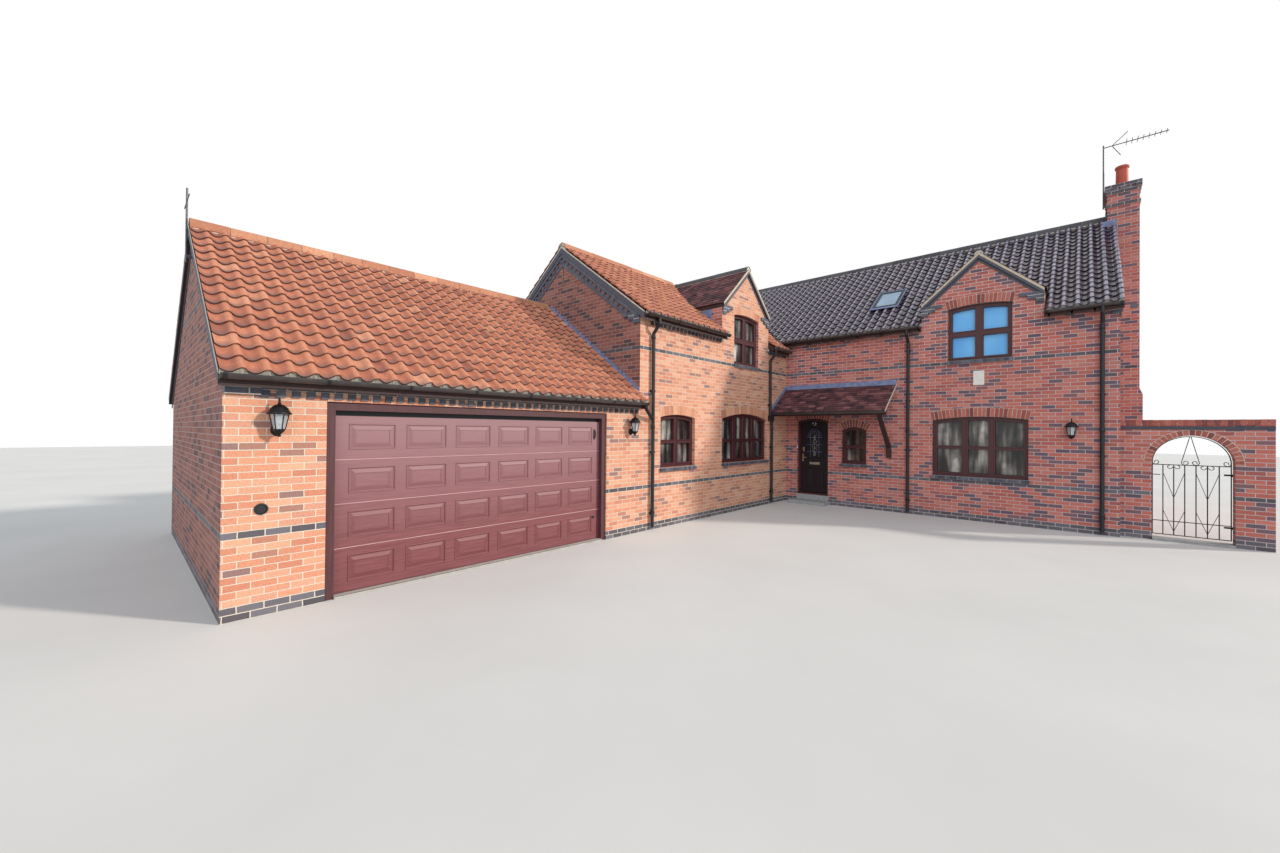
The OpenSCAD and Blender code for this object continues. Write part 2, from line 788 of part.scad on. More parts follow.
module dentil_courses() {
    gz = garage_under(-dent_out) - course * 1.85;
    wz = wing_under(-dent_out) - course * 1.85;
    color(blue) {
        in_x(0, dent_out) translate([garage_y0 + wall_t, 0])
            dentils(garage_l - wall_t, gz);
        in_x(0, dent_out) translate([-wing_l + wall_t, 0])
            dentils(wing_l - wall_t + wing_dormer_y - dormer_half, wz);
        in_x(0, dent_out) translate([wing_dormer_y + dormer_half, 0])
            dentils(-wing_dormer_y - dormer_half, wz);
    }
}

// stepped brick corbels at the foot of a gable: n courses up to height e, each longer
// than the one below, cut off under a verge that rises by k
module kneeler_2d(l, n, e, k) {
    difference() {
        for (i = [0 : n - 1]) translate([0, e - (n - 1 - i) * course])
            square([l * (i + 1) / n, course + (i < n - 1 ? 1 : 0)]);
        polygon([[-1, e - k], [l + 1, e + k * (l + 1)], [l + 1, e + course * n + l],
            [-1, e + course * n + l]]);
    }
}

rake_out = 40;
rake_dent_out = 28;
rake_dent_step = 165;

// brick courses that climb a gable's rake under the tiles, drawn from its apex for a
// length l down the slope: depth 0 is the oversailing course, depth 1 the row of dentils
// and depth 2 the plain course under them
module rake_course(l, depth) {
    for (s = [0, 1]) mirror([s, 0]) rotate(-roof_pitch) {
        if (depth == 1) for (x = [dent_w : rake_dent_step : l - dent_w])
            translate([x, -2 * course]) square([dent_w * 0.75, course + 1]);
        else translate([0, -(depth + 1) * course]) square([l, course * (1 + 0.02)]);
    }
}

// the height that the lead on the garage roof reaches, d in from the garage's front
function lead_top(d) = garage_roof_z + t * d + lead_h + course + 2 * hair;

module wing_rakes() {
    l = wing_d / 2 / cos(roof_pitch);
    z = wing_under(wing_d / 2);
    difference() {
        intersection() {
            union() {
                in_y(-wing_l - rake_out, rake_out) translate([-wing_d / 2, z])
                    rake_course(l, 0);
                in_y(-wing_l - rake_dent_out, rake_dent_out) translate([-wing_d / 2, z])
                    rake_course(l, 1);
                in_y(-wing_l - rake_dent_out / 2, rake_dent_out / 2)
                    translate([-wing_d / 2, z]) rake_course(l, 2);
            }
            in_y(-wing_l - wall_t, 2 * wall_t) polygon([[-wing_d, 0], [0, 0],
                [0, wing_under(0)], [-wing_d / 2, z], [-wing_d, wing_under(0)]]);
        }
        in_y(-wing_l - wall_t, 2 * wall_t) polygon([[-garage_d, 0], [0, 0], [0, lead_top(0)],
            [-garage_d / 2, lead_top(garage_d / 2)], [-garage_d, lead_top(0)]]);
    }
}

module kneelers() {
    k = 35;
    color(blue) {
        wing_rakes();
        // the garage's near corner
        in_x(0, k) translate([garage_y0 + wall_t, garage_under(-k) - 2 * course])
            mirror([1, 0]) square([wall_t, 2 * course]);
        // the wing's gable corner
        in_y(-wing_l - k, k) mirror([1, 0]) kneeler_2d(450, 3, wing_under(0), t);
        // the right corner of the main front wall
        in_y(-k, k) translate([main_w, 0]) mirror([1, 0])
            kneeler_2d(225, 2, main_under(-k) - course, 0);
        // the feet of the dormer gables
        for (s = [0, 1]) {
            in_y(-k, k) translate([main_dormer_x + (2 * s - 1) * dormer_half, 0])
                mirror([s, 0]) kneeler_2d(420, 3, main_dormer_eave - dormer_v - hair, main_td);
            in_x(0, k) translate([wing_dormer_y + (2 * s - 1) * dormer_half, 0])
                mirror([s, 0]) kneeler_2d(420, 3, wing_dormer_eave - dormer_v - hair, wing_td);
        }
    }
}

module window_sills() {
    color(blue) {
        for (w = win_main) in_y(-sill_out, sill_out) win_sill(w);
        for (w = win_wing) in_x(0, sill_out) win_sill(w);
        in_y(-sill_out, sill_out) translate([main_dormer_x, 0]) win_sill(win_dormer);
        in_x(0, sill_out) translate([wing_dormer_y, 0]) win_sill(win_dormer);
        for (w = win_rear) in_y(main_d, sill_out) win_sill(w);
        for (w = win_wing_rear) in_x(-wing_d - sill_out, sill_out) win_sill(w);
        for (w = win_left) in_x(-wing_d - sill_out, sill_out) win_sill(w);
    }
}

module window_frames() {
    color(maroon) {
        for (w = win_main) in_y(reveal, frame_d) win_frame(w);
        for (w = win_wing) in_x(-reveal - frame_d, frame_d) win_frame(w);
        in_y(reveal, frame_d) translate([main_dormer_x, 0]) win_frame(win_dormer);
        in_x(-reveal - frame_d, frame_d) translate([wing_dormer_y, 0]) win_frame(win_dormer);
        for (w = win_rear) in_y(main_d - reveal - frame_d, frame_d) win_frame(w);
        for (w = win_wing_rear) in_x(-wing_d + reveal, frame_d) win_frame(w);
        for (w = win_left) in_x(-wing_d + reveal, frame_d) win_frame(w);
    }
}

module window_glass() {
    b = reveal + frame_d;
    color([0.55, 0.65, 0.7, 0.5]) {
        for (w = win_main) in_y(b, glass_t) hole(w);
        for (w = win_wing) in_x(-b - glass_t, glass_t) hole(w);
        in_y(b, glass_t) translate([main_dormer_x, 0]) hole(win_dormer);
        in_x(-b - glass_t, glass_t) translate([wing_dormer_y, 0]) hole(win_dormer);
        for (w = win_rear) in_y(main_d - b - glass_t, glass_t) hole(w);
        for (w = win_wing_rear) in_x(-wing_d + b, glass_t) hole(w);
        for (w = win_left) in_x(-wing_d + b, glass_t) hole(w);
    }
}

// gutters and downpipes

// a half-round gutter in cross-section, its back against x = 0, its rim at z = 0
module gutter_2d() {
    difference() {
        translate([gutter_r, 0]) circle(gutter_r);
        translate([gutter_r, 0]) circle(gutter_r - gutter_t);
        translate([-1, 0]) square([2 * gutter_r + 2, gutter_r + 1]);
    }
    translate([0, -gutter_r * 0.6]) square([gutter_t, gutter_r * 0.6 + gutter_drop / 2]);
}

main_gut_z = main_roof_z - t * eave_out - gutter_drop;
wing_gut_z = wing_roof_z - t * eave_out - gutter_drop;
garage_gut_z = garage_roof_z - t * eave_out - gutter_drop;
porch_gut_z = porch_z - t * porch_d - gutter_drop;
// the main front gutter starts where it just clears the wing's tiles
gut_start = -(main_gut_z - gutter_r - wing_roof_z) / t + 20;

module gutters() {
    color(black) {
        // front of the garage and of the wing
        in_y(garage_y0 - verge_out, garage_l + verge_out)
            translate([eave_out, garage_gut_z]) gutter_2d();
        in_y(-wing_l - verge_out, wing_l + verge_out + wing_dormer_y - dormer_half)
            translate([eave_out, wing_gut_z]) gutter_2d();
        in_y(wing_dormer_y + dormer_half, -wing_dormer_y - dormer_half - eave_out)
            translate([eave_out, wing_gut_z]) gutter_2d();
        // front and back of the main block
        in_x(gut_start, main_dormer_x - dormer_half - gut_start)
            translate([-eave_out, main_gut_z]) mirror([1, 0]) gutter_2d();
        in_x(main_dormer_x + dormer_half, main_w + verge_out - main_dormer_x - dormer_half)
            translate([-eave_out, main_gut_z]) mirror([1, 0]) gutter_2d();
        in_x(-wing_d - verge_out, wing_d + main_w + 2 * verge_out)
            translate([main_d + eave_out, main_gut_z]) gutter_2d();
        // the porch, from over the hopper to its right end
        in_x(pipe_gap + 2 * pipe_r + 10, porch_w - pipe_gap - 2 * pipe_r - 10)
            translate([-porch_d, porch_gut_z]) mirror([1, 0]) gutter_2d();
        // back of the garage and of the wing
        in_y(garage_y0 - verge_out, garage_l + verge_out)
            translate([-garage_d - eave_out, garage_gut_z]) mirror([1, 0]) gutter_2d();
        in_y(-wing_l, wing_l - eave_out)
            translate([-wing_d - eave_out, wing_gut_z]) mirror([1, 0]) gutter_2d();
    }
}

// a downpipe on a wall at x = 0 facing +X: an outlet that hugs the gutter's underside,
// a swan neck back to the wall and a straight pipe down to its foot
module downpipe(gz, foot) {
    cx = pipe_gap + pipe_r;
    ox = eave_out + gutter_r;
    drop = ox - cx;
    z1 = gz - gutter_r - neck_drop;
    z0 = z1 - drop * 1.15;
    difference() {
        translate([ox, 0, z1]) cylinder(h = neck_drop + gutter_r, r = pipe_r);
        translate([ox, pipe_r + 1, gz]) rotate([90, 0, 0])
            cylinder(h = 2 * pipe_r + 2, r = gutter_r + hair);
    }
    translate([cx, 0, z0]) rotate([0, atan2(drop, z1 - z0), 0])
        cylinder(h = norm([drop, z1 - z0]), r = pipe_r);
    translate([ox, 0, z1]) sphere(r = pipe_r);
    translate([cx, 0, z0]) sphere(r = pipe_r);
    straight_pipe(z0, foot);
}

clip_first = 250;
clip_step = 1200;
clip_h = 40;
clip_ear = 12;

// a straight pipe between two heights with its clips against the wall
module straight_pipe(top, foot) {
    cx = pipe_gap + pipe_r;
    translate([cx, 0, foot]) cylinder(h = top - foot, r = pipe_r);
    for (z = [foot + clip_first : clip_step : top - 2.5 * clip_h])
        translate([0, -pipe_r - clip_ear, z])
            cube([cx + pipe_r * 0.6, 2 * (pipe_r + clip_ear), clip_h]);
}

// the pipe beside the porch: it drops into a hopper and goes on nearer the porch
module hopper_pipe(gz, foot) {
    z = porch_gut_z - gutter_r - gutter_t - hopper_h;
    w = inner_pipe_y1 - inner_pipe_y0 + 2 * pipe_r + 20;
    intersection() {
        translate([0, inner_pipe_y0, 0]) downpipe(gz, 0);
        translate([0, -wing_l, z + hopper_h]) cube([wing_d, wing_l, main_d]);
    }
    translate([pipe_gap / 2, inner_pipe_y0 - pipe_r - 10, z])
        cube([2 * pipe_r + pipe_gap, w, hopper_h]);
    translate([0, inner_pipe_y1, 0]) straight_pipe(z, foot);
}

pipe_foot = 60;
pipe_wing_y = -wing_l + pipe_wing_in;
inner_pipe_y0 = wing_dormer_y + dormer_half + pipe_r + 5;
inner_pipe_y1 = -porch_d - pipe_r - 16;
pipe_main_x = porch_w + pipe_porch_off;
pipe_right_x = main_w - pipe_right_in;

module downpipes() {
    color(black) {
        translate([0, pipe_wing_y, 0]) downpipe(wing_gut_z, pipe_foot);
        hopper_pipe(wing_gut_z, pipe_foot);
        for (x = [pipe_main_x, pipe_right_x]) translate([x, 0, 0]) rotate([0, 0, -90])
            downpipe(main_gut_z, pipe_foot);
        for (x = [main_w - pipe_back_in, -wing_d + pipe_back_in]) translate([x, main_d, 0])
            rotate([0, 0, 90]) downpipe(main_gut_z, pipe_foot);
        translate([-garage_d, garage_y0 + pipe_back_in, 0]) rotate([0, 0, 180])
            downpipe(garage_gut_z, pipe_foot);
    }
}

// lead

lead_t = 10;
lead_h = 130;

// stepped lead over a slope that falls from a ridge at the origin, out to the given run:
// its top edge steps down one course at a time into the joints of the wall
module lead_2d(run) {
    step = course / t;
    n = ceil((run - ridge_half) / step);
    for (i = [0 : n - 1]) {
        x0 = ridge_half + i * step;
        x1 = min(run, x0 + step);
        polygon([[x0, -t * x0], [x1, -t * x1], [x1, lead_h - t * x0], [x0, lead_h - t * x0]]);
    }
}

module roof_flashings() {
    color([0.30, 0.40, 0.55]) {
        // the garage roof against the wing's gable
        in_y(-wing_l - lead_t, lead_t) translate([-garage_d / 2, garage_ridge_z + hair])
            lead_2d(garage_d / 2);
        in_y(-wing_l - lead_t, lead_t) translate([-garage_d / 2, garage_ridge_z + hair])
            mirror([1, 0]) lead_2d(wing_d - garage_d / 2);
        // the porch roof against both walls
        translate([lead_t, -lead_t, porch_z]) cube([porch_w - lead_t, lead_t, lead_h]);
        in_x(0, lead_t) polygon([[0, porch_z], [-porch_d, porch_z - t * porch_d],
            [-porch_d, porch_z - t * porch_d + lead_h], [0, porch_z + lead_h]]);
    }
}

// small fittings

// a coach lantern on a wall at x = 0 facing +X: wall plate, arm, base, tapering glass,
// flared cap and finial
module lantern() {
    foot = 45;
    translate([0, -foot, foot]) cube([14, 2 * foot, 2 * foot]);
    translate([0, 0, foot]) rotate([0, 90, 0]) cylinder(h = lantern_out, r = 9);
    translate([lantern_out, 0, 0]) {
        cylinder(h = foot, r1 = 12, r2 = lantern_r * 0.62);
        translate([0, 0, foot]) cylinder(h = lantern_h, r1 = lantern_r * 0.6, r2 = lantern_r);
        translate([0, 0, foot + lantern_h]) cylinder(h = 22, r1 = lantern_r + 26,
            r2 = lantern_r + 4);
        translate([0, 0, foot + lantern_h + 21]) cylinder(h = foot, r1 = lantern_r,
            r2 = lantern_r * 0.3);
        translate([0, 0, foot + lantern_h + 20 + foot]) cylinder(h = foot, r = 12);
    }
}

module wall_lanterns() {
    color(black) {
        translate([0, garage_y0 + lantern_near, lantern_z]) lantern();
        translate([0, -wing_l - lantern_far, lantern_z]) lantern();
        translate([main_w - lantern_right, 0, lantern_z]) rotate([0, 0, -90]) lantern();
    }
}

// the rooflight's frame and pane stand on the tiles of the main front slope
module rooflight() {
    color(black) translate([skylight_x, skylight_y, main_roof_z + t * skylight_y + hair])
        rotate([roof_pitch, 0, 0]) difference() {
            cube([skylight_w, skylight_l, skylight_h]);
            translate([skylight_rim, skylight_rim, skylight_h / 2])
                cube([skylight_w - 2 * skylight_rim, skylight_l - 2 * skylight_rim, skylight_h]);
        }
}

module rod(a, b, r) {
    d = b - a;
    l = norm(d);
    translate(a) rotate([0, acos(d[2] / l), atan2(d[1], d[0])]) cylinder(h = l, r = r);
}

mast_off = 60;
boom_rods = 8;
boom_step = 95;
boom_half = 170;
small_mast = 520;

module television_aerials() {
    mx = stack_x0 - mast_off;
    my = (stack_y0 + stack_y1) / 2 - 250;
    top = stack_top + mast_up;
    boom = top - mast_off;
    first = boom_l - boom_rods * boom_step + mast_off;
    ax = -garage_d / 2;
    ay = garage_y0 - verge_out - 20;
    az = garage_ridge_z;
    color([0.25, 0.25, 0.27]) {
        // the mast beside the stack with its two brackets
        rod([mx, my, stack_top - 5.9 * course], [mx, my, top], 16);
        for (z = [stack_top - 5.3 * course, stack_top - 3.9 * course])
            translate([mx, my - 15, z]) cube([mast_off, 30, 30]);
        // its boom, rods and reflector
        rod([mx, my, boom], [mx + boom_l, my, boom], 11);
        for (i = [0 : boom_rods - 1]) rod([mx + first + i * boom_step, my - boom_half + i * 8, boom],
            [mx + first + i * boom_step, my + boom_half - i * 8, boom], 6);
        rod([mx + 150, my, boom], [mx + 420, my, boom + 250], 8);
        rod([mx + 150, my, boom], [mx + 300, my, boom - 280], 8);
        // the small aerial on the garage gable
        rod([ax, ay, az - small_mast], [ax, ay, az + small_mast], 12);
        translate([ax - 15, ay, az - small_mast + 60]) cube([30, garage_y0 - ay, 40]);
        rod([ax - 330, ay, az + 330], [ax + 330, ay, az + 330], 7);
    }
}

// chimney

module chimney_breast() {
    x0 = main_w;
    x1 = main_w + breast_out;
    y0 = breast_y0;
    y1 = breast_y0 + breast_w;
    zs = shoulder_z;
    zt = shoulder_z + 2 * course;
    color(brick) intersection() {
        in_y(y0 - 1, breast_w + 2) polygon([[x0, 0], [x1, 0], [x1, zs], [x1 - shoulder, zt],
            [x1 - shoulder, stack_seat_z], [x0, stack_seat_z]]);
        in_x(x0 - 1, breast_out + 2) polygon([[y0, 0], [y1, 0], [y1, zs], [y1 - shoulder, zt],
            [y1 - shoulder, stack_seat_z], [y0 + shoulder, stack_seat_z],
            [y0 + shoulder, zt], [y0, zs]]);
    }
}

module stack_ring(z0, z1, out) {
    translate([stack_x0 - out, stack_y0 - out, z0])
        cube([stack_x1 - stack_x0 + 2 * out, stack_y1 - stack_y0 + 2 * out, z1 - z0]);
}

band_out = 20;
cap_out = 42;

// a course of headers that stand out on all four sides, with a gap after each
module stack_dentils(z) {
    x0 = stack_x0 - cap_out;
    y0 = stack_y0 - cap_out;
    lx = stack_x1 + cap_out - x0 - dent_w;
    ly = stack_y1 + cap_out - y0 - dent_w;
    dx = lx / round(lx / dent_step);
    dy = ly / round(ly / dent_step);
    difference() {
        stack_ring(z, z + course, cap_out);
        for (x = [0 : dx : lx - 1]) translate([x0 + dent_w + x, y0 - 1, z - 1])
            cube([dx - dent_w, ly + dent_w + 2, course + 2]);
        for (y = [0 : dy : ly - 1]) translate([x0 - 1, y0 + dent_w + y, z - 1])
            cube([lx + dent_w + 2, dy - dent_w, course + 2]);
    }
}

module chimney_stack() {
    color(brick) {
        stack_ring(stack_seat_z, stack_top - 3 * course, 0);
        stack_ring(stack_top - 7 * course, stack_top - 6 * course, band_out);
        stack_ring(stack_top - 3 * course, stack_top - course, band_out);
        stack_dentils(stack_top - 2 * course);
        stack_ring(stack_top - course, stack_top, cap_out);
    }
}

pot_t = 25;

module chimney_pot() {
    b = pot_r - pot_t;
    color([0.6, 0.2, 0.15]) translate([(stack_x0 + stack_x1) / 2, main_d / 2, stack_top])
        rotate_extrude() polygon([[b, 0], [pot_r + 12, 0], [pot_r, 60], [pot_r - 8, pot_h - 80],
            [pot_r + 10, pot_h - 62], [pot_r + 14, pot_h - 35], [pot_r + 8, pot_h - 10],
            [pot_r - 6, pot_h], [b, pot_h]]);
}

// porch

module porch_roof() {
    color(dark_tile) in_x(0, porch_w) polygon([[0, porch_z], [-porch_d, porch_z - t * porch_d],
        [-porch_d, porch_z - t * porch_d - porch_v], [0, porch_z - porch_v]]);
}

beam_in = 20;
brace_in = 110;
corbel_h = 170;

// the beam under the eaves, and a brace that runs up to it from a corbel on the wall
module porch_frame() {
    by = -porch_d + beam_in;
    bz = porch_z - t * porch_d - porch_v;
    zb = bz - porch_beam_h;
    bx = porch_w - brace_in - porch_post;
    h = 1.35 * porch_post;
    color(timber) {
        in_x(0, porch_w) polygon([[by, zb], [by + porch_post, zb],
            [by + porch_post, bz + t * (beam_in + porch_post)], [by, bz + t * beam_in]]);
        in_x(bx, porch_post) polygon([[0, brace_z], [0, brace_z + h],
            [by + porch_post, zb - hair], [by, zb - hair]]);
    }
    zc = brace_z - corbel_h;
    color(blue) in_x(bx - 10, porch_post + 20) polygon([[0, zc], [-60, zc],
        [-porch_post, brace_z + porch_post * 0.9 - hair * 2], [0, brace_z - hair * 2]]);
}

// front door

door_y = reveal + 10;
// how far the frame's stop covers the edge of the leaf, and the play behind the stop
door_stop = 12;
stop_gap = 6;
leaf_w = door_w - 2 * door_frame_w - 2 * leaf_gap;
leaf_x1 = door_x + leaf_w / 2;
leaf_y1 = door_y + door_frame_d;
leaf_z0 = floor_z + threshold_h + leaf_gap;
knuckle_r = 5;
hinge_x = leaf_x1 + leaf_gap / 2;
hinge_y = leaf_y1 + knuckle_r;
hinge_zs = [450, 1150, 1850];
hinge_h = 40;

hinge_plate = [25, 3, 25];

module door_frame() {
    c = door_x;
    g = door_frame_w;
    color(maroon) {
        difference() {
            in_y(door_y, door_frame_d) arched(c, door_w, floor_z, spring_z, door_rise);
            in_y(door_y - 1, door_frame_d + 2)
                arched_in(c, door_w, floor_z - 2 * g, spring_z, door_rise, g + door_stop);
            in_y(leaf_y1 - leaf_t - stop_gap, leaf_t + stop_gap + 1)
                arched_in(c, door_w, floor_z - 2 * g, spring_z, door_rise, g);
        }
    }
    color([0.7, 0.7, 0.7]) {
        translate([c - door_w / 2 + g + door_stop, door_y, floor_z])
            cube([door_w - 2 * g - 2 * door_stop, door_frame_d, threshold_h]);
        // the frame's half of each hinge
        for (z = hinge_zs, k = [-hinge_plate[2] - hair, hinge_h + hair]) {
            translate([hinge_x, hinge_y, z + k]) cylinder(h = hinge_plate[2], r = knuckle_r);
            translate([hinge_x, leaf_y1, z + k])
                cube([leaf_gap / 2 + hinge_plate[0], hinge_plate[1], hinge_plate[2]]);
        }
    }
}

module leaf_2d() {
    intersection() {
        arched_in(door_x, door_w, floor_z, spring_z, door_rise, door_frame_w + leaf_gap);
        translate([door_x - door_w, leaf_z0]) square([2 * door_w, spring_z]);
    }
}

light_w = 450;
light_z0 = 1255;
light_z1 = 1820;

module door_light_2d(g) {
    translate([door_x - light_w / 2 + g, light_z0 + g])
        square([light_w - 2 * g, light_z1 - light_z0 - g]);
    intersection() {
        translate([door_x, light_z1]) circle(light_w / 2 - g);
        translate([door_x - light_w, light_z1]) square([2 * light_w, light_w]);
    }
}

// the raised frame round the arched light and the two sunk panels under it
door_bead = 25;
door_bead_out = 8;
door_panel = [230, 540];
door_panel_z = 420;
door_panel_off = 155;

module door_panel_2d(g) {
    for (s = [-1, 1]) translate([door_x + s * door_panel_off - door_panel[0] / 2 + g,
        door_panel_z + g]) square([door_panel[0] - 2 * g, door_panel[1] - 2 * g]);
}

module front_door() {
    y0 = leaf_y1 - leaf_t;
    color([0.12, 0.05, 0.05]) difference() {
        union() {
            in_y(y0, leaf_t) leaf_2d();
            in_y(y0 - door_bead_out, door_bead_out + 1) {
                door_light_2d(-door_bead);
                door_panel_2d(0);
            }
        }
        in_y(y0 - door_bead_out - 1, leaf_t + door_bead_out + 2) door_light_2d(0);
        in_y(y0 - door_bead_out - 1, door_bead_out / 2 + 2) door_panel_2d(door_bead);
    }
    color([0.5, 0.6, 0.65, 0.6]) in_y(y0 + 16, glass_t) door_light_2d(0);
}

letter_plate = [290, 12, 70];
letter_z = 1050;
handle_z = 1240;
knocker_z = 1400;

module door_furniture() {
    y0 = leaf_y1 - leaf_t;
    x0 = door_x - leaf_w / 2 + 52;
    color([0.75, 0.75, 0.74]) {
        translate([door_x + 10 - letter_plate[0] / 2, y0 - letter_plate[1], letter_z])
            cube(letter_plate);
        // lever handle on its plate, at the left edge of the leaf
        translate([x0 - 22, y0 - 10, handle_z - 120]) cube([44, 10, 220]);
        translate([x0, y0 - 10, handle_z]) rotate([90, 0, 0]) cylinder(h = 40, r = 9);
        translate([x0, y0 - 62, handle_z - 11]) cube([120, 16, 22]);
        // knocker
        translate([x0 + 3, y0 - 14, knocker_z]) cube([40, 14, 130]);
        // the leaf's half of each hinge
        for (z = hinge_zs) {
            translate([hinge_x, hinge_y, z]) cylinder(h = hinge_h, r = knuckle_r);
            translate([leaf_x1 - 30, leaf_y1, z])
                cube([hinge_x - leaf_x1 + 30, hinge_plate[1], hinge_h]);
        }
    }
}

// garage door

// how far the garage door frame is set back
gframe_back = 28;

module garage_door_frame() {
    y0 = gdoor_y0;
    color(maroon) in_x(-gdoor_back - gdoor_t, gdoor_back + gdoor_t - gframe_back) difference() {
        translate([y0, 0]) square([gdoor_w, gdoor_h]);
        translate([y0 + gframe_w, -1]) square([gdoor_w - 2 * gframe_w, gdoor_h - gframe_w + 1]);
    }
    color([0.72, 0.70, 0.66]) translate([-gdoor_back - gdoor_t, y0 + gframe_w + hair, 0])
        cube([gdoor_back + gdoor_t, gdoor_w - 2 * gframe_w - 2 * hair, garage_floor_z]);
}

section_gap = 8;

module garage_door() {
    y0 = gdoor_y0 + gframe_w;
    w = gdoor_w - 2 * gframe_w;
    rh = (gdoor_h - gframe_w - gdoor_top_gap - garage_floor_z) / gdoor_rows;
    cw = (w - 2 * panel_edge) / gdoor_cols;
    x1 = -gdoor_back;
    skin = panel_sink + 2;
    color([0.33, 0.10, 0.10]) {
        translate([x1 - gdoor_t, y0, garage_floor_z]) cube([gdoor_t - skin + 1, w, gdoor_rows * rh]);
        // the face of each section, with a sunk border round every panel's field
        for (i = [0 : gdoor_rows - 1]) {
            z = garage_floor_z + i * rh;
            difference() {
                translate([x1 - skin, y0, z + section_gap / 2]) cube([skin, w, rh - section_gap]);
                in_x(x1 - panel_sink, panel_sink + 1) for (j = [0 : gdoor_cols - 1])
                    translate([y0 + panel_edge + panel_gap / 2 + j * cw, z + panel_foot])
                        difference() {
                            square([cw - panel_gap, panel_h]);
                            translate([panel_border, panel_border])
                                square([cw - panel_gap - 2 * panel_border, panel_h - 2 * panel_border]);
                        }
            }
        }
    }
}

// how far the step under the gate stands out from the garden wall
gate_step_out = 60;

module doorsteps() {
    color([0.45, 0.47, 0.50]) {
        translate([door_x - step_w / 2, -step_d, 0]) cube([step_w, step_d - hair, step_h]);
        // the riser under the front door
        translate([door_x - door_w / 2, 0, 0]) cube([door_w, wall_t, floor_z]);
        translate([gx0, garden_back - gate_step_out, 0])
            cube([gate_w, garden_t + gate_step_out, gate_step_h]);
    }
}

// garden wall and gate

coping_out = 12;

// two piers, and the wall over the gateway with its round arch and its coping
module garden_wall() {
    z1 = garden_h - coping_h;
    l = gx1 + garden_end - main_w;
    color(brick) {
        translate([main_w, garden_back, 0])
            cube([garden_pier, garden_t, gate_spring - hair]);
        translate([gx1, garden_back, 0]) cube([garden_end, garden_t, gate_spring - hair]);
        difference() {
            translate([main_w, garden_back, gate_spring])
                cube([l, garden_t, z1 - gate_spring]);
            in_y(garden_back - 1, garden_t + 2) translate([gx0 + gate_r, gate_spring])
                circle(gate_r, $fn = 96);
        }
        translate([main_w, garden_back - coping_out, z1])
            cube([l, garden_t + 2 * coping_out, coping_h]);
    }
}

// a flat scroll: part of a ring of radius r from angle a0 over da
module scroll(x, z, r, a0, da) {
    translate([x, 0, z]) rotate([90, 0, 0]) rotate([0, 0, a0])
        rotate_extrude(angle = da) translate([r, 0]) circle(gate_bar * 0.4, $fn = 16);
}

// the gate hangs at the back of the wall and swings away from the front
gate_x0 = gx0 + gate_gap;
gate_x1 = gx1 - gate_gap;
gate_y = garden_back + garden_t - gate_bar / 2 - 2;
gate_rail_z = gate_spring - 55;
gate_pin = [gx1 - 2, garden_back + garden_t + 10];
gate_pin_zs = [300, gate_rail_z - 160];
gate_pin_r = 5;
gate_eye_h = 30;

// the iron hooks in the right pier that carry the gate
module gate_hooks() {
    color(black) for (z = gate_pin_zs) translate([gate_pin[0], gate_pin[1], z]) {
        translate([0, 0, -12]) cylinder(h = gate_eye_h + 16, r = gate_pin_r);
        translate([-7, -10, -12]) cube([60, 17, 12 - hair]);
    }
}

gate_low_rail_z = 340;
// the bars that slant down to a middle bar: their top on its neighbours, their foot on it
gate_vees = [[gate_rail_z - 135, 786], [550, 160]];
gate_lyre = 110;
gate_latch_z = 1205;

// a curl that turns in under its start at [x, z] and up again, its outer radius r,
// with a forged knuckle at its start and where it tightens
module curl(x, z, r) {
    scroll(x + r, z, r, 180, 180);
    scroll(x + 4 / 3 * r, z, r * 2 / 3, 0, 215);
    for (k = [0, 2]) translate([x + k * r, 0, z]) sphere(r = gate_bar * 0.46);
}

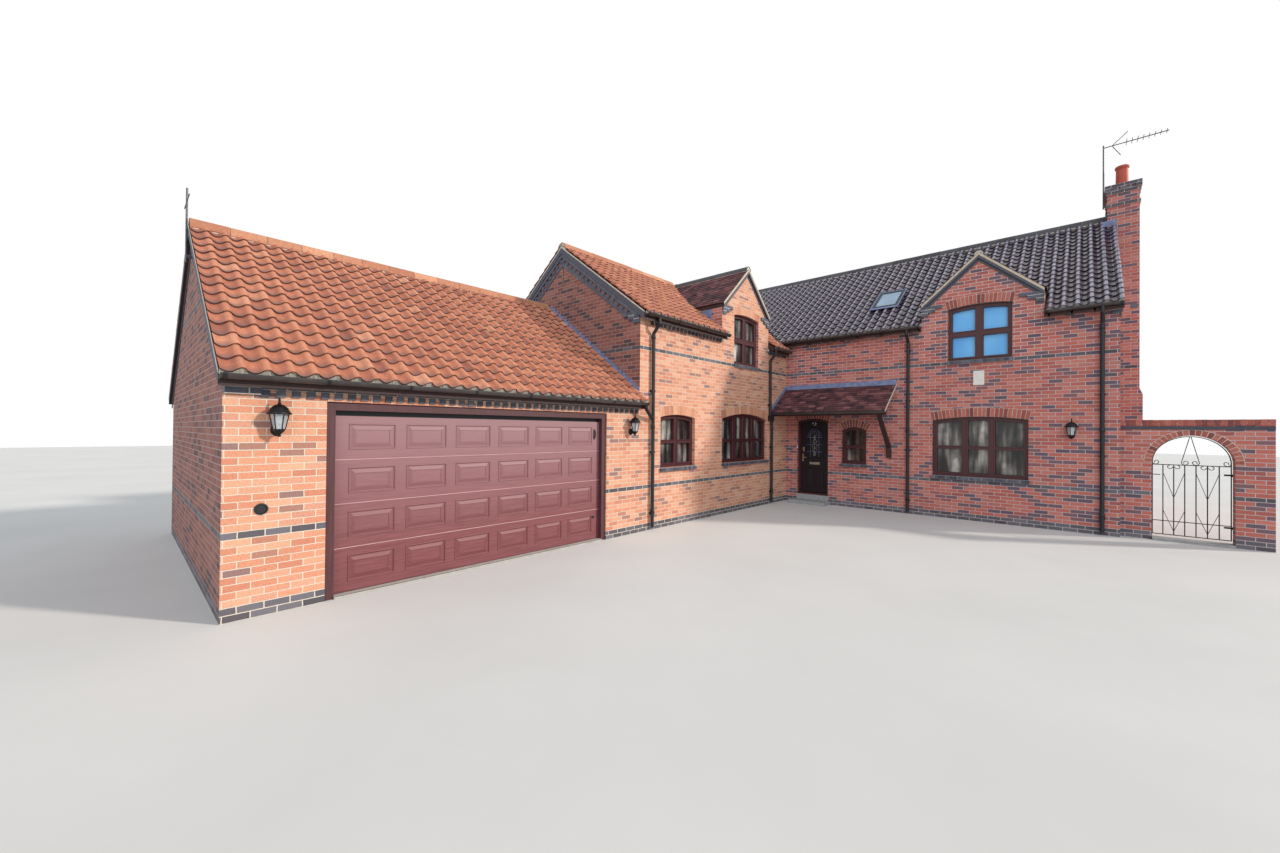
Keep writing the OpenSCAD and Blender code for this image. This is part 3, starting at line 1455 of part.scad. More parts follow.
module garden_gate() {
    b = gate_bar;
    h = (gate_x1 - gate_x0) / 2;
    zb = gate_step_h + 40;
    zr = gate_rail_z;
    step = (2 * h - b) / (gate_bars - 1);
    // the curls rest on the top rail
    zc = gate_spring;
    rc = gate_spring - zr - b + 1;
    // the middle bar of the slanting pair in each half
    vx = -h + b / 2 + floor(gate_bars / 3) * step;
    color(black) translate([gx0 + gate_r, gate_y, 0]) {
        for (i = [0 : gate_bars - 1]) translate([-h + i * step, -b / 2, zb])
            cube([b, b, zr - zb + b]);
        for (z = [zb, gate_low_rail_z, zr]) translate([-h, -b / 2 - 1, z]) cube([2 * h, b + 2, b]);
        // the hoop that follows the arch
        intersection() {
            in_y(-b / 2, b) translate([0, gate_spring]) difference() {
                circle(h, $fn = 96);
                circle(h - b, $fn = 96);
            }
            translate([-h, -b, gate_spring - 1]) cube([2 * h, 2 * b, gate_r]);
        }
        for (s = [0, 1]) mirror([s, 0, 0]) {
            translate([-h, -b / 2, zr]) cube([b, b, gate_spring - zr]);
            // a curl at the foot of the hoop
            curl(-h + b / 2, zc, rc);
            // one side of the lyre that hangs from the crown
            rod([-b / 2, 0, gate_spring + h - b / 2], [-gate_lyre, 0, zc], b * 0.4);
            curl(-gate_lyre, zc, rc);
            // two small scrolls under the rail, and the slanting bars
            for (k = [-1, 1]) {
                scroll(vx + k * 46, zr - 32, 32, k < 0 ? 90 : 180, 270);
                for (v = gate_vees) rod([vx + k * step, 0, v[0]], [vx, 0, v[1]], b * 0.3);
            }
        }
        translate([-h, -b / 2 - 4, gate_latch_z]) cube([110, b, b]);
    }
    // a strap and an eye round each hook
    color(black) for (z = gate_pin_zs) translate([gate_pin[0], 0, z]) {
        translate([-100, gate_y + b / 2 - 1, 0]) cube([100, 5, gate_eye_h]);
        translate([0, gate_pin[1], 0]) difference() {
            cylinder(h = gate_eye_h, r = gate_pin_r + 4);
            translate([0, 0, -1]) cylinder(h = gate_eye_h + 2, r = gate_pin_r + hair);
        }
    }
}

garage_gable_wall();
garage_piers();
door_head_walls();
rear_side_walls();
wing_gable_wall();
wing_front_wall();
main_front_pier();
main_front_wall();
main_right_gable();
main_left_gable();
main_rear_wall();
dormer_walls();
dormer_cheeks();
garage_roof();
wing_roof();
main_roof();
dormer_roofs();
ridge_tiles();
ground_floors();
upper_floors();
dentil_courses();
kneelers();
window_sills();
window_frames();
window_glass();
gutters();
downpipes();
roof_flashings();
wall_lanterns();
rooflight();
television_aerials();
chimney_breast();
chimney_stack();
chimney_pot();
porch_roof();
porch_frame();
door_frame();
front_door();
door_furniture();
garage_door_frame();
garage_door();
doorsteps();
garden_wall();
gate_hooks();
garden_gate();
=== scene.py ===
import math
import random
import bpy
from mathutils import Matrix, Vector


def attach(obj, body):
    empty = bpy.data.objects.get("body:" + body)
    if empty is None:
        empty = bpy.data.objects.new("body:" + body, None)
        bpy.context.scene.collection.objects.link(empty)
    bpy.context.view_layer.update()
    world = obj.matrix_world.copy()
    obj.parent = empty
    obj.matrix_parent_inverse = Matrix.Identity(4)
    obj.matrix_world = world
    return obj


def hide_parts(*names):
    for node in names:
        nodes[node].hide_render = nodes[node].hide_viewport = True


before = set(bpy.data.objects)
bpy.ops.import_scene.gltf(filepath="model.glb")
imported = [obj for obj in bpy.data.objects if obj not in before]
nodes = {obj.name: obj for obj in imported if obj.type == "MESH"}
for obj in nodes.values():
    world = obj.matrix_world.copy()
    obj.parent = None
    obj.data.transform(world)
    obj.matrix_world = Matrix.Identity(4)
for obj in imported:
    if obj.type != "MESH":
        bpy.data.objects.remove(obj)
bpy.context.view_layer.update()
rng = random.Random(11)

# The house, in metres, as in the CAD source.
T = math.tan(math.radians(36))
MAIN_W, MAIN_D, WING_L, WING_D = 6.79, 7.4, 6.18, 4.8
GAR_L, GAR_D = 6.1, 6.0
GAR_Y0 = -WING_L - GAR_L
EAVE, VERGE = 0.15, 0.05
MAIN_Z, WING_Z, GAR_Z = 4.6, 4.33, 2.61
MAIN_TOP, WING_TOP, GAR_TOP = MAIN_Z + T * MAIN_D / 2, WING_Z + T * WING_D / 2, GAR_Z + T * GAR_D / 2
VALLEY = (MAIN_Z - WING_Z) / T
WING_RIDGE_Y = WING_D / 2 - VALLEY
DH = 1.125
MDX, MD_TOP, MD_EAVE = 4.55, 5.97, 4.97
WDY, WD_TOP, WD_EAVE = -2.21, 6.04, 4.99
MD_SIDE, MD_BACK = (MD_EAVE - MAIN_Z) / T, (MD_TOP - MAIN_Z) / T
WD_SIDE, WD_BACK = -(WD_EAVE - WING_Z) / T, -(WD_TOP - WING_Z) / T
PORCH_W, PORCH_D, PORCH_Z = 2.88, 0.9, 3.13
COURSE = 0.075
# Roof slabs' upright thickness, the arches' springing, the doorway's middle and width, the gate's middle,
# the garden wall's two faces, the stack's middle and top, how far kneelers stand out, and a bed's depth.
ROOF_V, DORMER_V = 0.14, 0.11
SPRING = 2.25
DOOR_X, DOOR_W, GATE_X = 0.772, 0.875, 7.72
GARDEN_Y, GARDEN_BACK = 0.2, 0.415
STACK_X, STACK_Y, STACK_TOP = 6.955, 3.7, 7.95
DENT, BED = 0.035, 0.0015


def srgb(r, g, b):
    return tuple(((c / 255 + 0.055) / 1.055) ** 2.4 for c in (r, g, b)) + (1.0,)


def grey(v):
    return v, v, v, 1.0


BLACK, WHITE = grey(0.0), grey(1.0)


def around(n, start=0.0):
    """n angles evenly round a full turn."""
    return [2 * math.pi * k / n + start for k in range(n)]


def sweep(n, total=math.pi):
    """n equal steps from 0 to a total angle."""
    return [total * k / n for k in range(n + 1)]


def oblong(a0, z0, a1, z1):
    """Four corners, round from the low one."""
    return [(a0, z0), (a1, z0), (a1, z1), (a0, z1)]


def node(tree, kind, inputs, **settings):
    """A new node with its settings. Each of its inputs given is linked to an output, or set to a value."""
    n = tree.nodes.new("ShaderNode" + kind)
    for name, value in settings.items():
        setattr(n, name, value)
    for name, value in inputs.items():
        if isinstance(value, bpy.types.NodeSocket):
            tree.links.new(value, n.inputs[name])
        else:
            n.inputs[name].default_value = value
    return n


# ---------- materials ----------
class Mat:
    """One node material, with short calls for the nodes used here."""

    def __init__(self, name, metal=0.0, coat=0.0, spec=0.5):
        self.m = bpy.data.materials.new(name)
        self.m.use_nodes = True
        self.t = self.m.node_tree
        self.t.nodes.clear()
        self.b = self.new("BsdfPrincipled", {"Metallic": metal, "Coat Weight": coat,
                                             "Specular IOR Level": spec})
        self.new("OutputMaterial", {0: self.b.outputs[0]})
        self.co = self.new("TexCoord").outputs["Object"]

    def new(self, kind, inputs={}, **settings):
        return node(self.t, kind, inputs, **settings)

    def set(self, name, output):
        self.t.links.new(output, self.b.inputs[name])

    def math(self, op, a, b=0.0, clamp=False):
        return self.new("Math", {0: a, 1: b}, operation=op, use_clamp=clamp).outputs[0]

    def add(self, a, b):
        return self.math("ADD", a, b)

    def sub(self, a, b):
        return self.math("SUBTRACT", a, b)

    def mul(self, a, b, clamp=False):
        return self.math("MULTIPLY", a, b, clamp)

    def above(self, a, b):
        return self.math("GREATER_THAN", a, b)

    def xyz(self, vector):
        return self.new("SeparateXYZ", {0: vector}).outputs

    def noise(self, scale, detail=3.0, rough=0.55, vector=None):
        return self.new("TexNoise", {"Vector": vector or self.co, "Scale": scale, "Detail": detail,
                                     "Roughness": rough}).outputs[0]

    def stretch(self, x, y, z):
        return self.new("Mapping", {"Vector": self.co, "Scale": (x, y, z)}).outputs[0]

    def ramp(self, fac, stops):
        n = self.new("ValToRGB", {0: fac})
        e = n.color_ramp.elements
        while len(e) < len(stops):
            e.new(0.5)
        for el, (p, c) in zip(e, stops):
            el.position = p
            el.color = c if len(c) == 4 else srgb(*c)
        return n.outputs[0]

    def step(self, fac, low, high, a=BLACK, b=WHITE):
        """A slope from black at one value to white at another."""
        return self.ramp(fac, [(low, a), (high, b)])

    def mix(self, fac, a, b, mode="MIX"):
        return self.new("Mix", {"Factor": fac, 6: a, 7: b}, data_type="RGBA", blend_type=mode).outputs[2]

    def attribute(self, name):
        return self.new("Attribute", attribute_name=name).outputs["Fac"]

    def colour(self, tone):
        self.set("Base Color", tone)

    def rough(self, fac, low, high):
        self.set("Roughness", self.new("MapRange", {0: fac, 3: low, 4: high}).outputs[0])

    def bump(self, height, strength=0.5, distance=0.003):
        self.set("Normal", self.new("Bump", {"Strength": strength, "Distance": distance,
                                             "Height": height}).outputs[0])


# Heights of the blue bands, and the bricks' tones. The sunlit tones and mortar are the red brick paled by
# painted sunlight, for faces turned to the sun; the gable tones are the red brick darkened by painted shade.
BANDS = ((0.0, 0.15), (0.825, 0.9), (3.525, 3.6))
RED_TONES = [(0.0, (88, 74, 92)), (0.12, (102, 82, 96)), (0.22, (124, 86, 94)), (0.25, (156, 84, 80)),
             (0.42, (178, 94, 82)), (0.62, (190, 104, 90)), (0.85, (198, 122, 108)), (1.0, (176, 108, 102))]
# Gable tones: the red brick darkened, painted shade for gables turned from the sun.
SHADED_GABLE_TONES = [(0.0, (58, 46, 56)), (0.15, (84, 58, 64)), (0.18, (112, 66, 62)), (0.5, (134, 80, 70)),
               (0.85, (150, 96, 84)), (1.0, (134, 90, 84))]
SUNLIT_TONES = [(0.0, (138, 108, 106)), (0.08, (170, 120, 104)), (0.12, (200, 128, 100)),
              (0.35, (212, 142, 110)), (0.62, (218, 152, 120)), (0.85, (224, 170, 138)),
              (1.0, (206, 144, 120))]
BLUE_TONES = [(0.0, (62, 64, 74)), (0.5, (84, 87, 98)), (1.0, (106, 108, 118))]
RED_MORTAR, SUNLIT_MORTAR = (214, 202, 202), (240, 228, 208)


def brick_mat(name, tones=RED_TONES, bands=BANDS, mortar=RED_MORTAR, ends=None):
    """Stretcher bond on any upright face, with blue courses between the heights in bands.

    ends gives the tones and the mortar of the faces that look along Y, where they differ, so that faces
    turned to the sun and from it carry painted light and shade.
    """
    m = Mat(name)
    normal = m.xyz(m.new("NewGeometry").outputs["True Normal"])
    p = m.xyz(m.co)
    side = m.above(m.math("ABSOLUTE", normal[0]), 0.6)
    flat = m.above(m.math("ABSOLUTE", normal[2]), 0.8)
    u = m.add(m.mul(p[0], m.sub(1.0, side)), m.mul(p[1], side))
    v = m.add(m.mul(p[2], m.sub(1.0, flat)), m.mul(p[1], flat))
    u = m.add(u, m.mul(m.sub(m.noise(22.0, 2.0), 0.5), 0.010))
    v = m.add(v, m.mul(m.sub(m.noise(17.0, 2.0), 0.5), 0.006))
    k = m.new("TexBrick", {"Vector": m.new("CombineXYZ", {0: u, 1: v}).outputs[0], "Color1": BLACK,
                           "Color2": WHITE, "Mortar": grey(0.5), "Scale": 1.0, "Mortar Size": 0.0055,
                           "Mortar Smooth": 0.15, "Bias": 0.0, "Brick Width": 0.225, "Row Height": COURSE},
              offset=0.5, offset_frequency=2)
    shade, joint = k.outputs["Color"], k.outputs["Fac"]
    tone = m.ramp(shade, tones)
    # Faces that look along X and along Y take different tones: painted sunlight and shade.
    if ends:
        tone = m.mix(side, m.ramp(shade, ends[0]), tone)
    for z0, z1 in bands:
        inside = m.mul(m.above(v, z0), m.math("LESS_THAN", v, z1))
        tone = m.mix(inside, tone, m.ramp(shade, BLUE_TONES))
    grain = m.noise(55.0, 5.0, 0.65)
    tone = m.mix(0.55, tone, m.ramp(grain, [(0.25, (88, 78, 78)), (0.55, (190, 186, 182)),
                                            (0.8, (250, 240, 232))]), "MULTIPLY")
    tone = m.mix(1.0, tone, grey(1.42), "MULTIPLY")
    mort = m.mix(m.noise(90.0, 3.0), srgb(*mortar), srgb(*[int(c * 0.82) for c in mortar]))
    if ends:
        mort = m.mix(side, srgb(*ends[1]), mort)
    m.colour(m.mix(m.mul(m.noise(1.1), 0.22), m.mix(joint, tone, mort), srgb(150, 120, 104)))
    m.bump(m.sub(m.mul(grain, 0.35), joint), 0.75, 0.006)
    m.rough(grain, 0.72, 0.95)
    return m.m


def tile_mat(name, stops, rough=(0.55, 0.85), coat=0.0, moss=(120, 116, 66), moss_amount=0.35, spec=0.4,
             edge=None, dirt=None, crest_highlight=None, crest_highlight_amount=0.5):
    """Fired clay: a tone for each tile, clouds, moss, pale crests as painted highlights, dark tile edges that
    are partly painted shade, and dirt in the pans.
    """
    m = Mat(name, coat=coat, spec=spec)
    # The tiles' tail lips and roll sides take this tone: a darker tile edge, partly painted shade.
    dark_edge_and_shade = edge or stops[0][1]
    tone = m.ramp(m.attribute("tint"), [(0.0, dark_edge_and_shade), (0.02, dark_edge_and_shade)]
                  + [(0.03 + 0.97 * q, c) for q, c in stops])
    cloud = m.noise(26.0, 4.0, 0.6)
    tone = m.mix(0.5, tone, m.ramp(cloud, [(0.3, (120, 112, 110)), (0.6, (205, 200, 196)),
                                           (0.85, (255, 250, 244))]), "MULTIPLY")
    tone = m.mix(1.0, tone, grey(1.25), "MULTIPLY")
    spots = m.step(m.noise(9.0, 6.0, 0.72), 0.62, 0.70)
    tone = m.mix(m.mul(spots, moss_amount), tone, srgb(*moss))
    # Crests made lighter where the sun would catch them: painted highlight.
    if crest_highlight:
        crest = m.mul(m.step(m.attribute("wave"), 0.60, 0.95), m.step(m.noise(14.0), 0.3, 0.65, grey(0.35)))
        tone = m.mix(m.mul(crest, crest_highlight_amount, True), tone, srgb(*crest_highlight))
    if dirt:
        low = m.ramp(m.attribute("along"), [(0.0, WHITE), (0.16, grey(0.7)), (0.42, BLACK)])
        pans = m.mul(low, m.step(m.attribute("wave"), 0.15, 0.75, WHITE, BLACK))
        tone = m.mix(m.mul(pans, m.add(cloud, 0.25), True), tone, srgb(*dirt))
    m.colour(tone)
    m.rough(cloud, *rough)
    m.bump(m.add(cloud, m.mul(m.noise(260.0, 2.0), 0.35)), 0.35, 0.0035)
    return m.m


def plain_mat(name, a, b, scale=8.0, rough=(0.4, 0.6), metal=0.0, bump=0.15, coat=0.0, fine=220.0, spec=0.5):
    """A coat or metal with two close tones, a faint grain and uneven gloss."""
    m = Mat(name, metal=metal, coat=coat, spec=spec)
    cloud = m.noise(scale, 4.0)
    m.colour(m.mix(m.step(cloud, 0.3, 0.7), srgb(*a), srgb(*b)))
    m.rough(cloud, *rough)
    m.bump(m.add(m.noise(fine, 2.0), cloud), bump, 0.001)
    return m.m


def wood_mat(name, a, b, axis="Z", rough=(0.28, 0.45), coat=0.1, spec=0.4, painted_sheen=None):
    """Woodgrain foil: streaks that run along one axis, and a painted sheen that pales it from one height up
    to another.
    """
    m = Mat(name, coat=coat, spec=spec)
    streak = m.noise(2.0, 5.0, 0.62, m.stretch(*[1.5 if axis == c else 45 for c in "XYZ"]))
    tone = m.mix(m.step(streak, 0.35, 0.65), srgb(*a), srgb(*b))
    # Paler towards the top: a painted sheen.
    if painted_sheen:
        z0, z1, amount, pale = painted_sheen
        up = m.mul(m.sub(m.xyz(m.co)[2], z0), 1.0 / (z1 - z0), True)
        tone = m.mix(m.mul(up, amount), tone, srgb(*pale))
    m.colour(tone)
    m.rough(streak, *rough)
    m.bump(streak, 0.25, 0.0008)
    return m.m


def glass_mat(name):
    """Panes with a painted sky reflection in the main block upstairs, and elsewhere a dim room with pale
    curtains, the room's darkness painted shade.
    """
    m = Mat(name, coat=0.3, spec=0.4)
    sky = m.ramp(m.noise(0.8, 2.0), [(0.35, (76, 158, 230)), (0.65, (120, 198, 246))])
    folds = m.noise(3.2, 2.0, 0.5, m.stretch(1.6, 1.6, 0.22))
    room = m.ramp(folds, [(0.40, (34, 32, 34)), (0.50, (82, 78, 74)), (0.58, (150, 146, 138)),
                          (0.70, (216, 210, 202))])
    shade = m.ramp(m.noise(2.1), [(0.4, (110, 110, 112)), (0.62, (255, 255, 255))])
    p = m.xyz(m.co)
    # The main block's upper panes carry a painted sky reflection; the others a dim room whose darkness is
    # painted shade.
    high = m.mul(m.above(p[2], 3.2), m.above(p[0], 0.2))
    m.colour(m.mix(high, m.mix(0.8, room, shade, "MULTIPLY"), sky))
    m.bump(m.noise(5.0, 2.0), 0.05, 0.002)
    m.rough(m.noise(0.9), 0.05, 0.10)
    return m.m


brick = brick_mat("brickwork")
blue_brick = brick_mat("blue_brickwork", BLUE_TONES, ())
stack_brick = brick_mat("stack_brickwork", bands=((7.425, 7.5), (7.725, STACK_TOP)))
# The walls turned to the sun take the red brick with painted sunlight, and fewer dark bricks.
sunlit_brick = brick_mat("sunlit_brickwork", SUNLIT_TONES, mortar=SUNLIT_MORTAR)
# Gables: painted sunlight on faces that look along X, painted shade and darker mortar on faces that look
# along Y.
lit_and_shaded_gable_brick = brick_mat("lit_and_shaded_gable_brickwork", SUNLIT_TONES, mortar=SUNLIT_MORTAR,
                        ends=(SHADED_GABLE_TONES, (168, 146, 140)))
# Dormers and door heads: painted sunlight on faces that look along X; faces that look along Y keep the red
# brick.
dormer_brick_sunlit_front = brick_mat("dormer_brickwork_sunlit_front", SUNLIT_TONES, mortar=SUNLIT_MORTAR, ends=(RED_TONES, RED_MORTAR))
arch_brick = tile_mat("arch_bricks", [(0.0, (122, 70, 68)), (0.5, (166, 92, 80)), (1.0, (184, 114, 100))],
                      rough=(0.75, 0.95), moss_amount=0.06)
# A paler copy of the arch bricks for the wing's sunlit wall: painted sunlight.
sunlit_arch_brick = tile_mat("sunlit_arch_bricks", [(0.0, (186, 122, 96)), (0.5, (210, 148, 116)),
                                          (1.0, (222, 168, 136))],
                     rough=(0.75, 0.95), moss_amount=0.06)
blue_brick_tile = tile_mat("blue_bricks", [(0.0, (62, 64, 74)), (0.5, (84, 87, 98)), (1.0, (106, 109, 120))],
                           rough=(0.6, 0.85), moss_amount=0.1)
blue_plain = plain_mat("blue_clay", (66, 69, 80), (98, 102, 114), 9.0, (0.6, 0.85), bump=0.5, fine=80.0)
orange_tile = tile_mat("orange_pantile", [(0.0, (152, 92, 74)), (0.35, (180, 110, 84)), (0.7, (196, 126, 96)),
                                          (1.0, (210, 150, 120))],
                       edge=(70, 42, 40), dirt=(104, 84, 82), crest_highlight=(216, 152, 120), crest_highlight_amount=0.45)
dark_tile = tile_mat("glazed_pantile", [(0.0, (46, 36, 48)), (0.5, (68, 52, 66)), (1.0, (92, 68, 80))],
                     rough=(0.2, 0.38), coat=0.25, moss=(74, 92, 92), moss_amount=0.3,
                     edge=(18, 17, 24), dirt=(38, 42, 58), crest_highlight=(184, 178, 196), crest_highlight_amount=0.75)
plain_tile = tile_mat("plain_tile", [(0.0, (50, 32, 38)), (0.5, (92, 56, 60)), (1.0, (140, 92, 92))],
                      rough=(0.6, 0.9), moss=(90, 86, 66), moss_amount=0.3)
ridge_orange = tile_mat("orange_ridge", [(0.0, (172, 112, 84)), (1.0, (206, 150, 116))], moss_amount=0.5)
ridge_dark = tile_mat("dark_ridge", [(0.0, (58, 60, 66)), (1.0, (86, 86, 90))], rough=(0.45, 0.7))
mortar = plain_mat("mortar", (214, 206, 194), (184, 174, 158), 20.0, (0.8, 0.95), bump=0.5, fine=120.0)
mahogany = wood_mat("mahogany", (56, 24, 28), (80, 36, 39))
door_wood = wood_mat("door_wood", (20, 14, 18), (34, 22, 27), rough=(0.45, 0.6), coat=0.0, spec=0.3)
garage_frame_red = wood_mat("garage_frame_red", (68, 36, 40), (88, 50, 53), "Z", (0.5, 0.65), 0.0)
# The garage door grows paler towards its top: a painted sheen.
garage_red = wood_mat("garage_red", (110, 58, 62), (132, 76, 78), "Y", (0.45, 0.6), 0.0,
                      painted_sheen=(0.5, 2.3, 0.75, (158, 124, 128)))
# The pale lips of the door's section joints: a painted highlight.
garage_lip_highlight = wood_mat("garage_lip_highlight", (176, 134, 136), (198, 158, 158), "Y", (0.4, 0.55), 0.0)
black_plastic = plain_mat("black_plastic", (22, 22, 26), (34, 34, 40), 6.0, (0.4, 0.6), spec=0.4)
gutter_brown = plain_mat("gutter_brown", (48, 43, 42), (66, 60, 58), 6.0, (0.25, 0.4), coat=0.2)
black_iron = plain_mat("black_iron", (20, 20, 22), (34, 32, 32), 30.0, (0.4, 0.6), metal=0.3, bump=0.4,
                       spec=0.3)
lead = plain_mat("lead", (96, 108, 142), (132, 144, 176), 9.0, (0.5, 0.7), bump=0.4, fine=60.0, spec=0.4)
alloy = plain_mat("aerial_metal", (70, 72, 78), (100, 102, 108), 20.0, (0.35, 0.5), metal=0.6)
brass = plain_mat("brass", (150, 138, 112), (176, 164, 134), 30.0, (0.3, 0.42), metal=0.8)
chrome = plain_mat("bright_metal", (190, 190, 190), (214, 214, 212), 30.0, (0.2, 0.32), metal=0.9)
stone = plain_mat("step_stone", (138, 140, 142), (164, 164, 160), 14.0, (0.75, 0.92), bump=0.6, fine=90.0)
concrete = plain_mat("concrete", (158, 154, 146), (180, 176, 168), 6.0, (0.8, 0.95), bump=0.5, fine=90.0)
boards = wood_mat("floor_timber", (150, 112, 74), (178, 138, 96), "Y", (0.5, 0.7), 0.0)
clay = plain_mat("red_clay", (158, 62, 48), (186, 88, 64), 12.0, (0.55, 0.75), bump=0.4)
cream = plain_mat("cream_render", (206, 192, 168), (186, 170, 146), 16.0, (0.8, 0.95), bump=0.4)
white = plain_mat("pale_plastic", (214, 210, 202), (226, 222, 214), 12.0, (0.4, 0.55))
dark_timber = wood_mat("dark_timber", (44, 26, 26), (64, 40, 38), "X", (0.5, 0.7), 0.0)
glass = glass_mat("window_glass")
# The rooflight's pale blue-grey is a painted sky reflection.
sky_reflection_glass = plain_mat("rooflight_glass", (110, 140, 164), (150, 178, 198), 2.0, (0.1, 0.2), bump=0.02,
                      spec=0.4)
lamp_glass = plain_mat("lantern_glass", (150, 156, 160), (190, 196, 198), 14.0, (0.12, 0.25), metal=0.2,
                       bump=0.1, coat=0.4)


# The finished material of each CAD node.
FINISHES = (
    (brick, "rear_side_walls main_front_pier main_front_wall main_right_gable "
            "main_left_gable main_rear_wall chimney_breast garden_wall"),
    # The sunlit, gable and dormer brickwork carry painted sunlight and painted shade by facing.
    (sunlit_brick, "garage_piers wing_front_wall"), (lit_and_shaded_gable_brick, "garage_gable_wall wing_gable_wall"),
    (dormer_brick_sunlit_front, "dormer_walls door_head_walls"),
    (dark_timber, "garage_roof wing_roof main_roof dormer_roofs porch_roof porch_frame"),
    (stack_brick, "chimney_stack"), (lead, "dormer_cheeks roof_flashings"), (concrete, "ground_floors"),
    (boards, "upper_floors"), (blue_plain, "dentil_courses kneelers"), (blue_brick, "window_sills"),
    (mahogany, "window_frames door_frame"), (glass, "window_glass"), (gutter_brown, "gutters"),
    (black_plastic, "downpipes rooflight"), (alloy, "television_aerials"), (clay, "chimney_pot"),
    (door_wood, "front_door"), (brass, "door_furniture"), (garage_frame_red, "garage_door_frame"),
    (garage_red, "garage_door"), (stone, "doorsteps"), (black_iron, "gate_hooks garden_gate"),
)
for mat, names in FINISHES:
    for name in names.split():
        slots = nodes[name].data.materials
        if not len(slots):
            slots.append(mat)
        for i in range(len(slots)):
            slots[i] = mat


# ---------- building meshes ----------
def placed(name, data):
    """A new object in the scene."""
    o = bpy.data.objects.new(name, data)
    bpy.context.scene.collection.objects.link(o)
    return o


class Build:
    """Collects faces, each with a shade from 0 to 1 and a material number, into one piece."""

    def __init__(self):
        self.v, self.f, self.smooth, self.tint, self.mat, self.marks = [], [], [], [], [], {}

    def face(self, pts, tint=0.5, smooth=False, mat=0, marks=()):
        i = len(self.v)
        self.v += [tuple(p) for p in pts]
        for k, m in enumerate(marks):
            self.marks[i + k] = m
        self.join(range(i, i + len(pts)), tint, smooth, mat)

    def join(self, corners, tint, smooth, mat):
        self.f.append(tuple(corners))
        self.smooth.append(smooth)
        self.tint.append(tint)
        self.mat.append(mat)

    def sheet(self, rows, tint=0.5, smooth=True, mat=0, closed=False):
        """A grid of points, its faces sharing corners."""
        i, w = len(self.v), len(rows[0])
        for row in rows:
            self.v += [tuple(p) for p in row]
        for r in range(len(rows) - 1):
            for c in range(w if closed else w - 1):
                d = (c + 1) % w
                a = i + r * w
                self.join((a + c, a + d, a + w + d, a + w + c), tint, smooth, mat)

    def capped(self, rows, tint, mat, smooth=True):
        """Rings joined by a skin, with both ends closed."""
        self.sheet(rows, tint, smooth, mat, closed=True)
        self.face(rows[0][::-1], tint, False, mat)
        self.face(rows[-1], tint, False, mat)

    def prism(self, ring, push, tint=0.5, mat=0, smooth=False):
        """A closed outline pushed along a vector, with both ends."""
        self.capped([ring, [p + push for p in ring]], tint, mat, smooth)

    def box(self, lo, hi, tint=0.5, mat=0):
        self.prism([Vector((x, y, lo[2])) for x, y in oblong(lo[0], lo[1], hi[0], hi[1])],
                   Vector((0, 0, hi[2] - lo[2])), tint, mat)

    def rod(self, path, r, sides=8, tint=0.5, mat=0):
        """A round bar along a list of points."""
        rows = []
        for i, p in enumerate(path):
            d = (path[min(i + 1, len(path) - 1)] - path[max(i - 1, 0)]).normalized()
            a = d.orthogonal() if i == 0 else side - d * side.dot(d)
            side = a.normalized()
            up = d.cross(side)
            rows.append([p + (side * math.cos(q) + up * math.sin(q)) * r for q in around(sides)])
        self.capped(rows, tint, mat)

    def lathe(self, base, profile, sides=16, tint=0.5, mat=0, smooth=True):
        """A turned form: profile is a list of (radius, height) over base."""
        rows = [[Vector((base[0] + r * math.cos(q), base[1] + r * math.sin(q), base[2] + h))
                 for q in around(sides)] for r, h in profile]
        self.capped(rows, tint, mat, smooth)

    def make(self, name, mats, body="house", *, replaces=()):
        mesh = bpy.data.meshes.new(name)
        mesh.from_pydata(self.v, [], self.f)
        for m in mats:
            mesh.materials.append(m)
        mesh.polygons.foreach_set("use_smooth", self.smooth)
        mesh.polygons.foreach_set("material_index", self.mat)
        a = mesh.attributes.new("tint", "FLOAT", "FACE")
        a.data.foreach_set("value", self.tint)
        if self.marks:
            for k, name_k in enumerate(("along", "wave")):
                a = mesh.attributes.new(name_k, "FLOAT", "POINT")
                a.data.foreach_set("value", [self.marks.get(i, (1.0, 1.0))[k] for i in range(len(self.v))])
        mesh.validate()
        o = placed(name, mesh)
        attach(o, body)
        for node in replaces:
            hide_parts(node)


def left_of(a, b, p):
    """How far point p lies, in plan, to the left of the line from a to b."""
    dx, dy = b[0] - a[0], b[1] - a[1]
    return (dx * (p[1] - a[1]) - dy * (p[0] - a[0])) / math.hypot(dx, dy)


def sides(outline):
    """The lines of a closed outline."""
    return zip(outline, outline[1:] + outline[:1])


def split(poly, a, b, gap=0.0):
    """Cuts a polygon by the upright plane through plan points a and b: (left part, right part)."""
    d = [left_of(a, b, p) + gap for p in poly]
    left, right = [], []
    for i, p in enumerate(poly):
        q, e, f = poly[(i + 1) % len(poly)], d[i], d[(i + 1) % len(poly)]
        if e >= 0:
            left.append(p)
        if e <= 0:
            right.append(p)
        if e * f < 0:
            r = p + (q - p) * (e / (e - f))
            left.append(r)
            right.append(r)
    return (left if len(left) > 2 else None), (right if len(right) > 2 else None)


def carve(poly, keep, holes, gap):
    """The parts of a polygon that lie left of every line in keep and outside every convex hole."""
    parts = [poly]
    for a, b in keep:
        parts = [p for p in (split(q, a, b)[0] for q in parts) if p]
    for hole in holes:
        out = []
        for rest in parts:
            for a, b in sides(hole):
                rest, right = split(rest, a, b, gap)
                if right:
                    out.append(right)
                if not rest:
                    break
        parts = out
    return parts


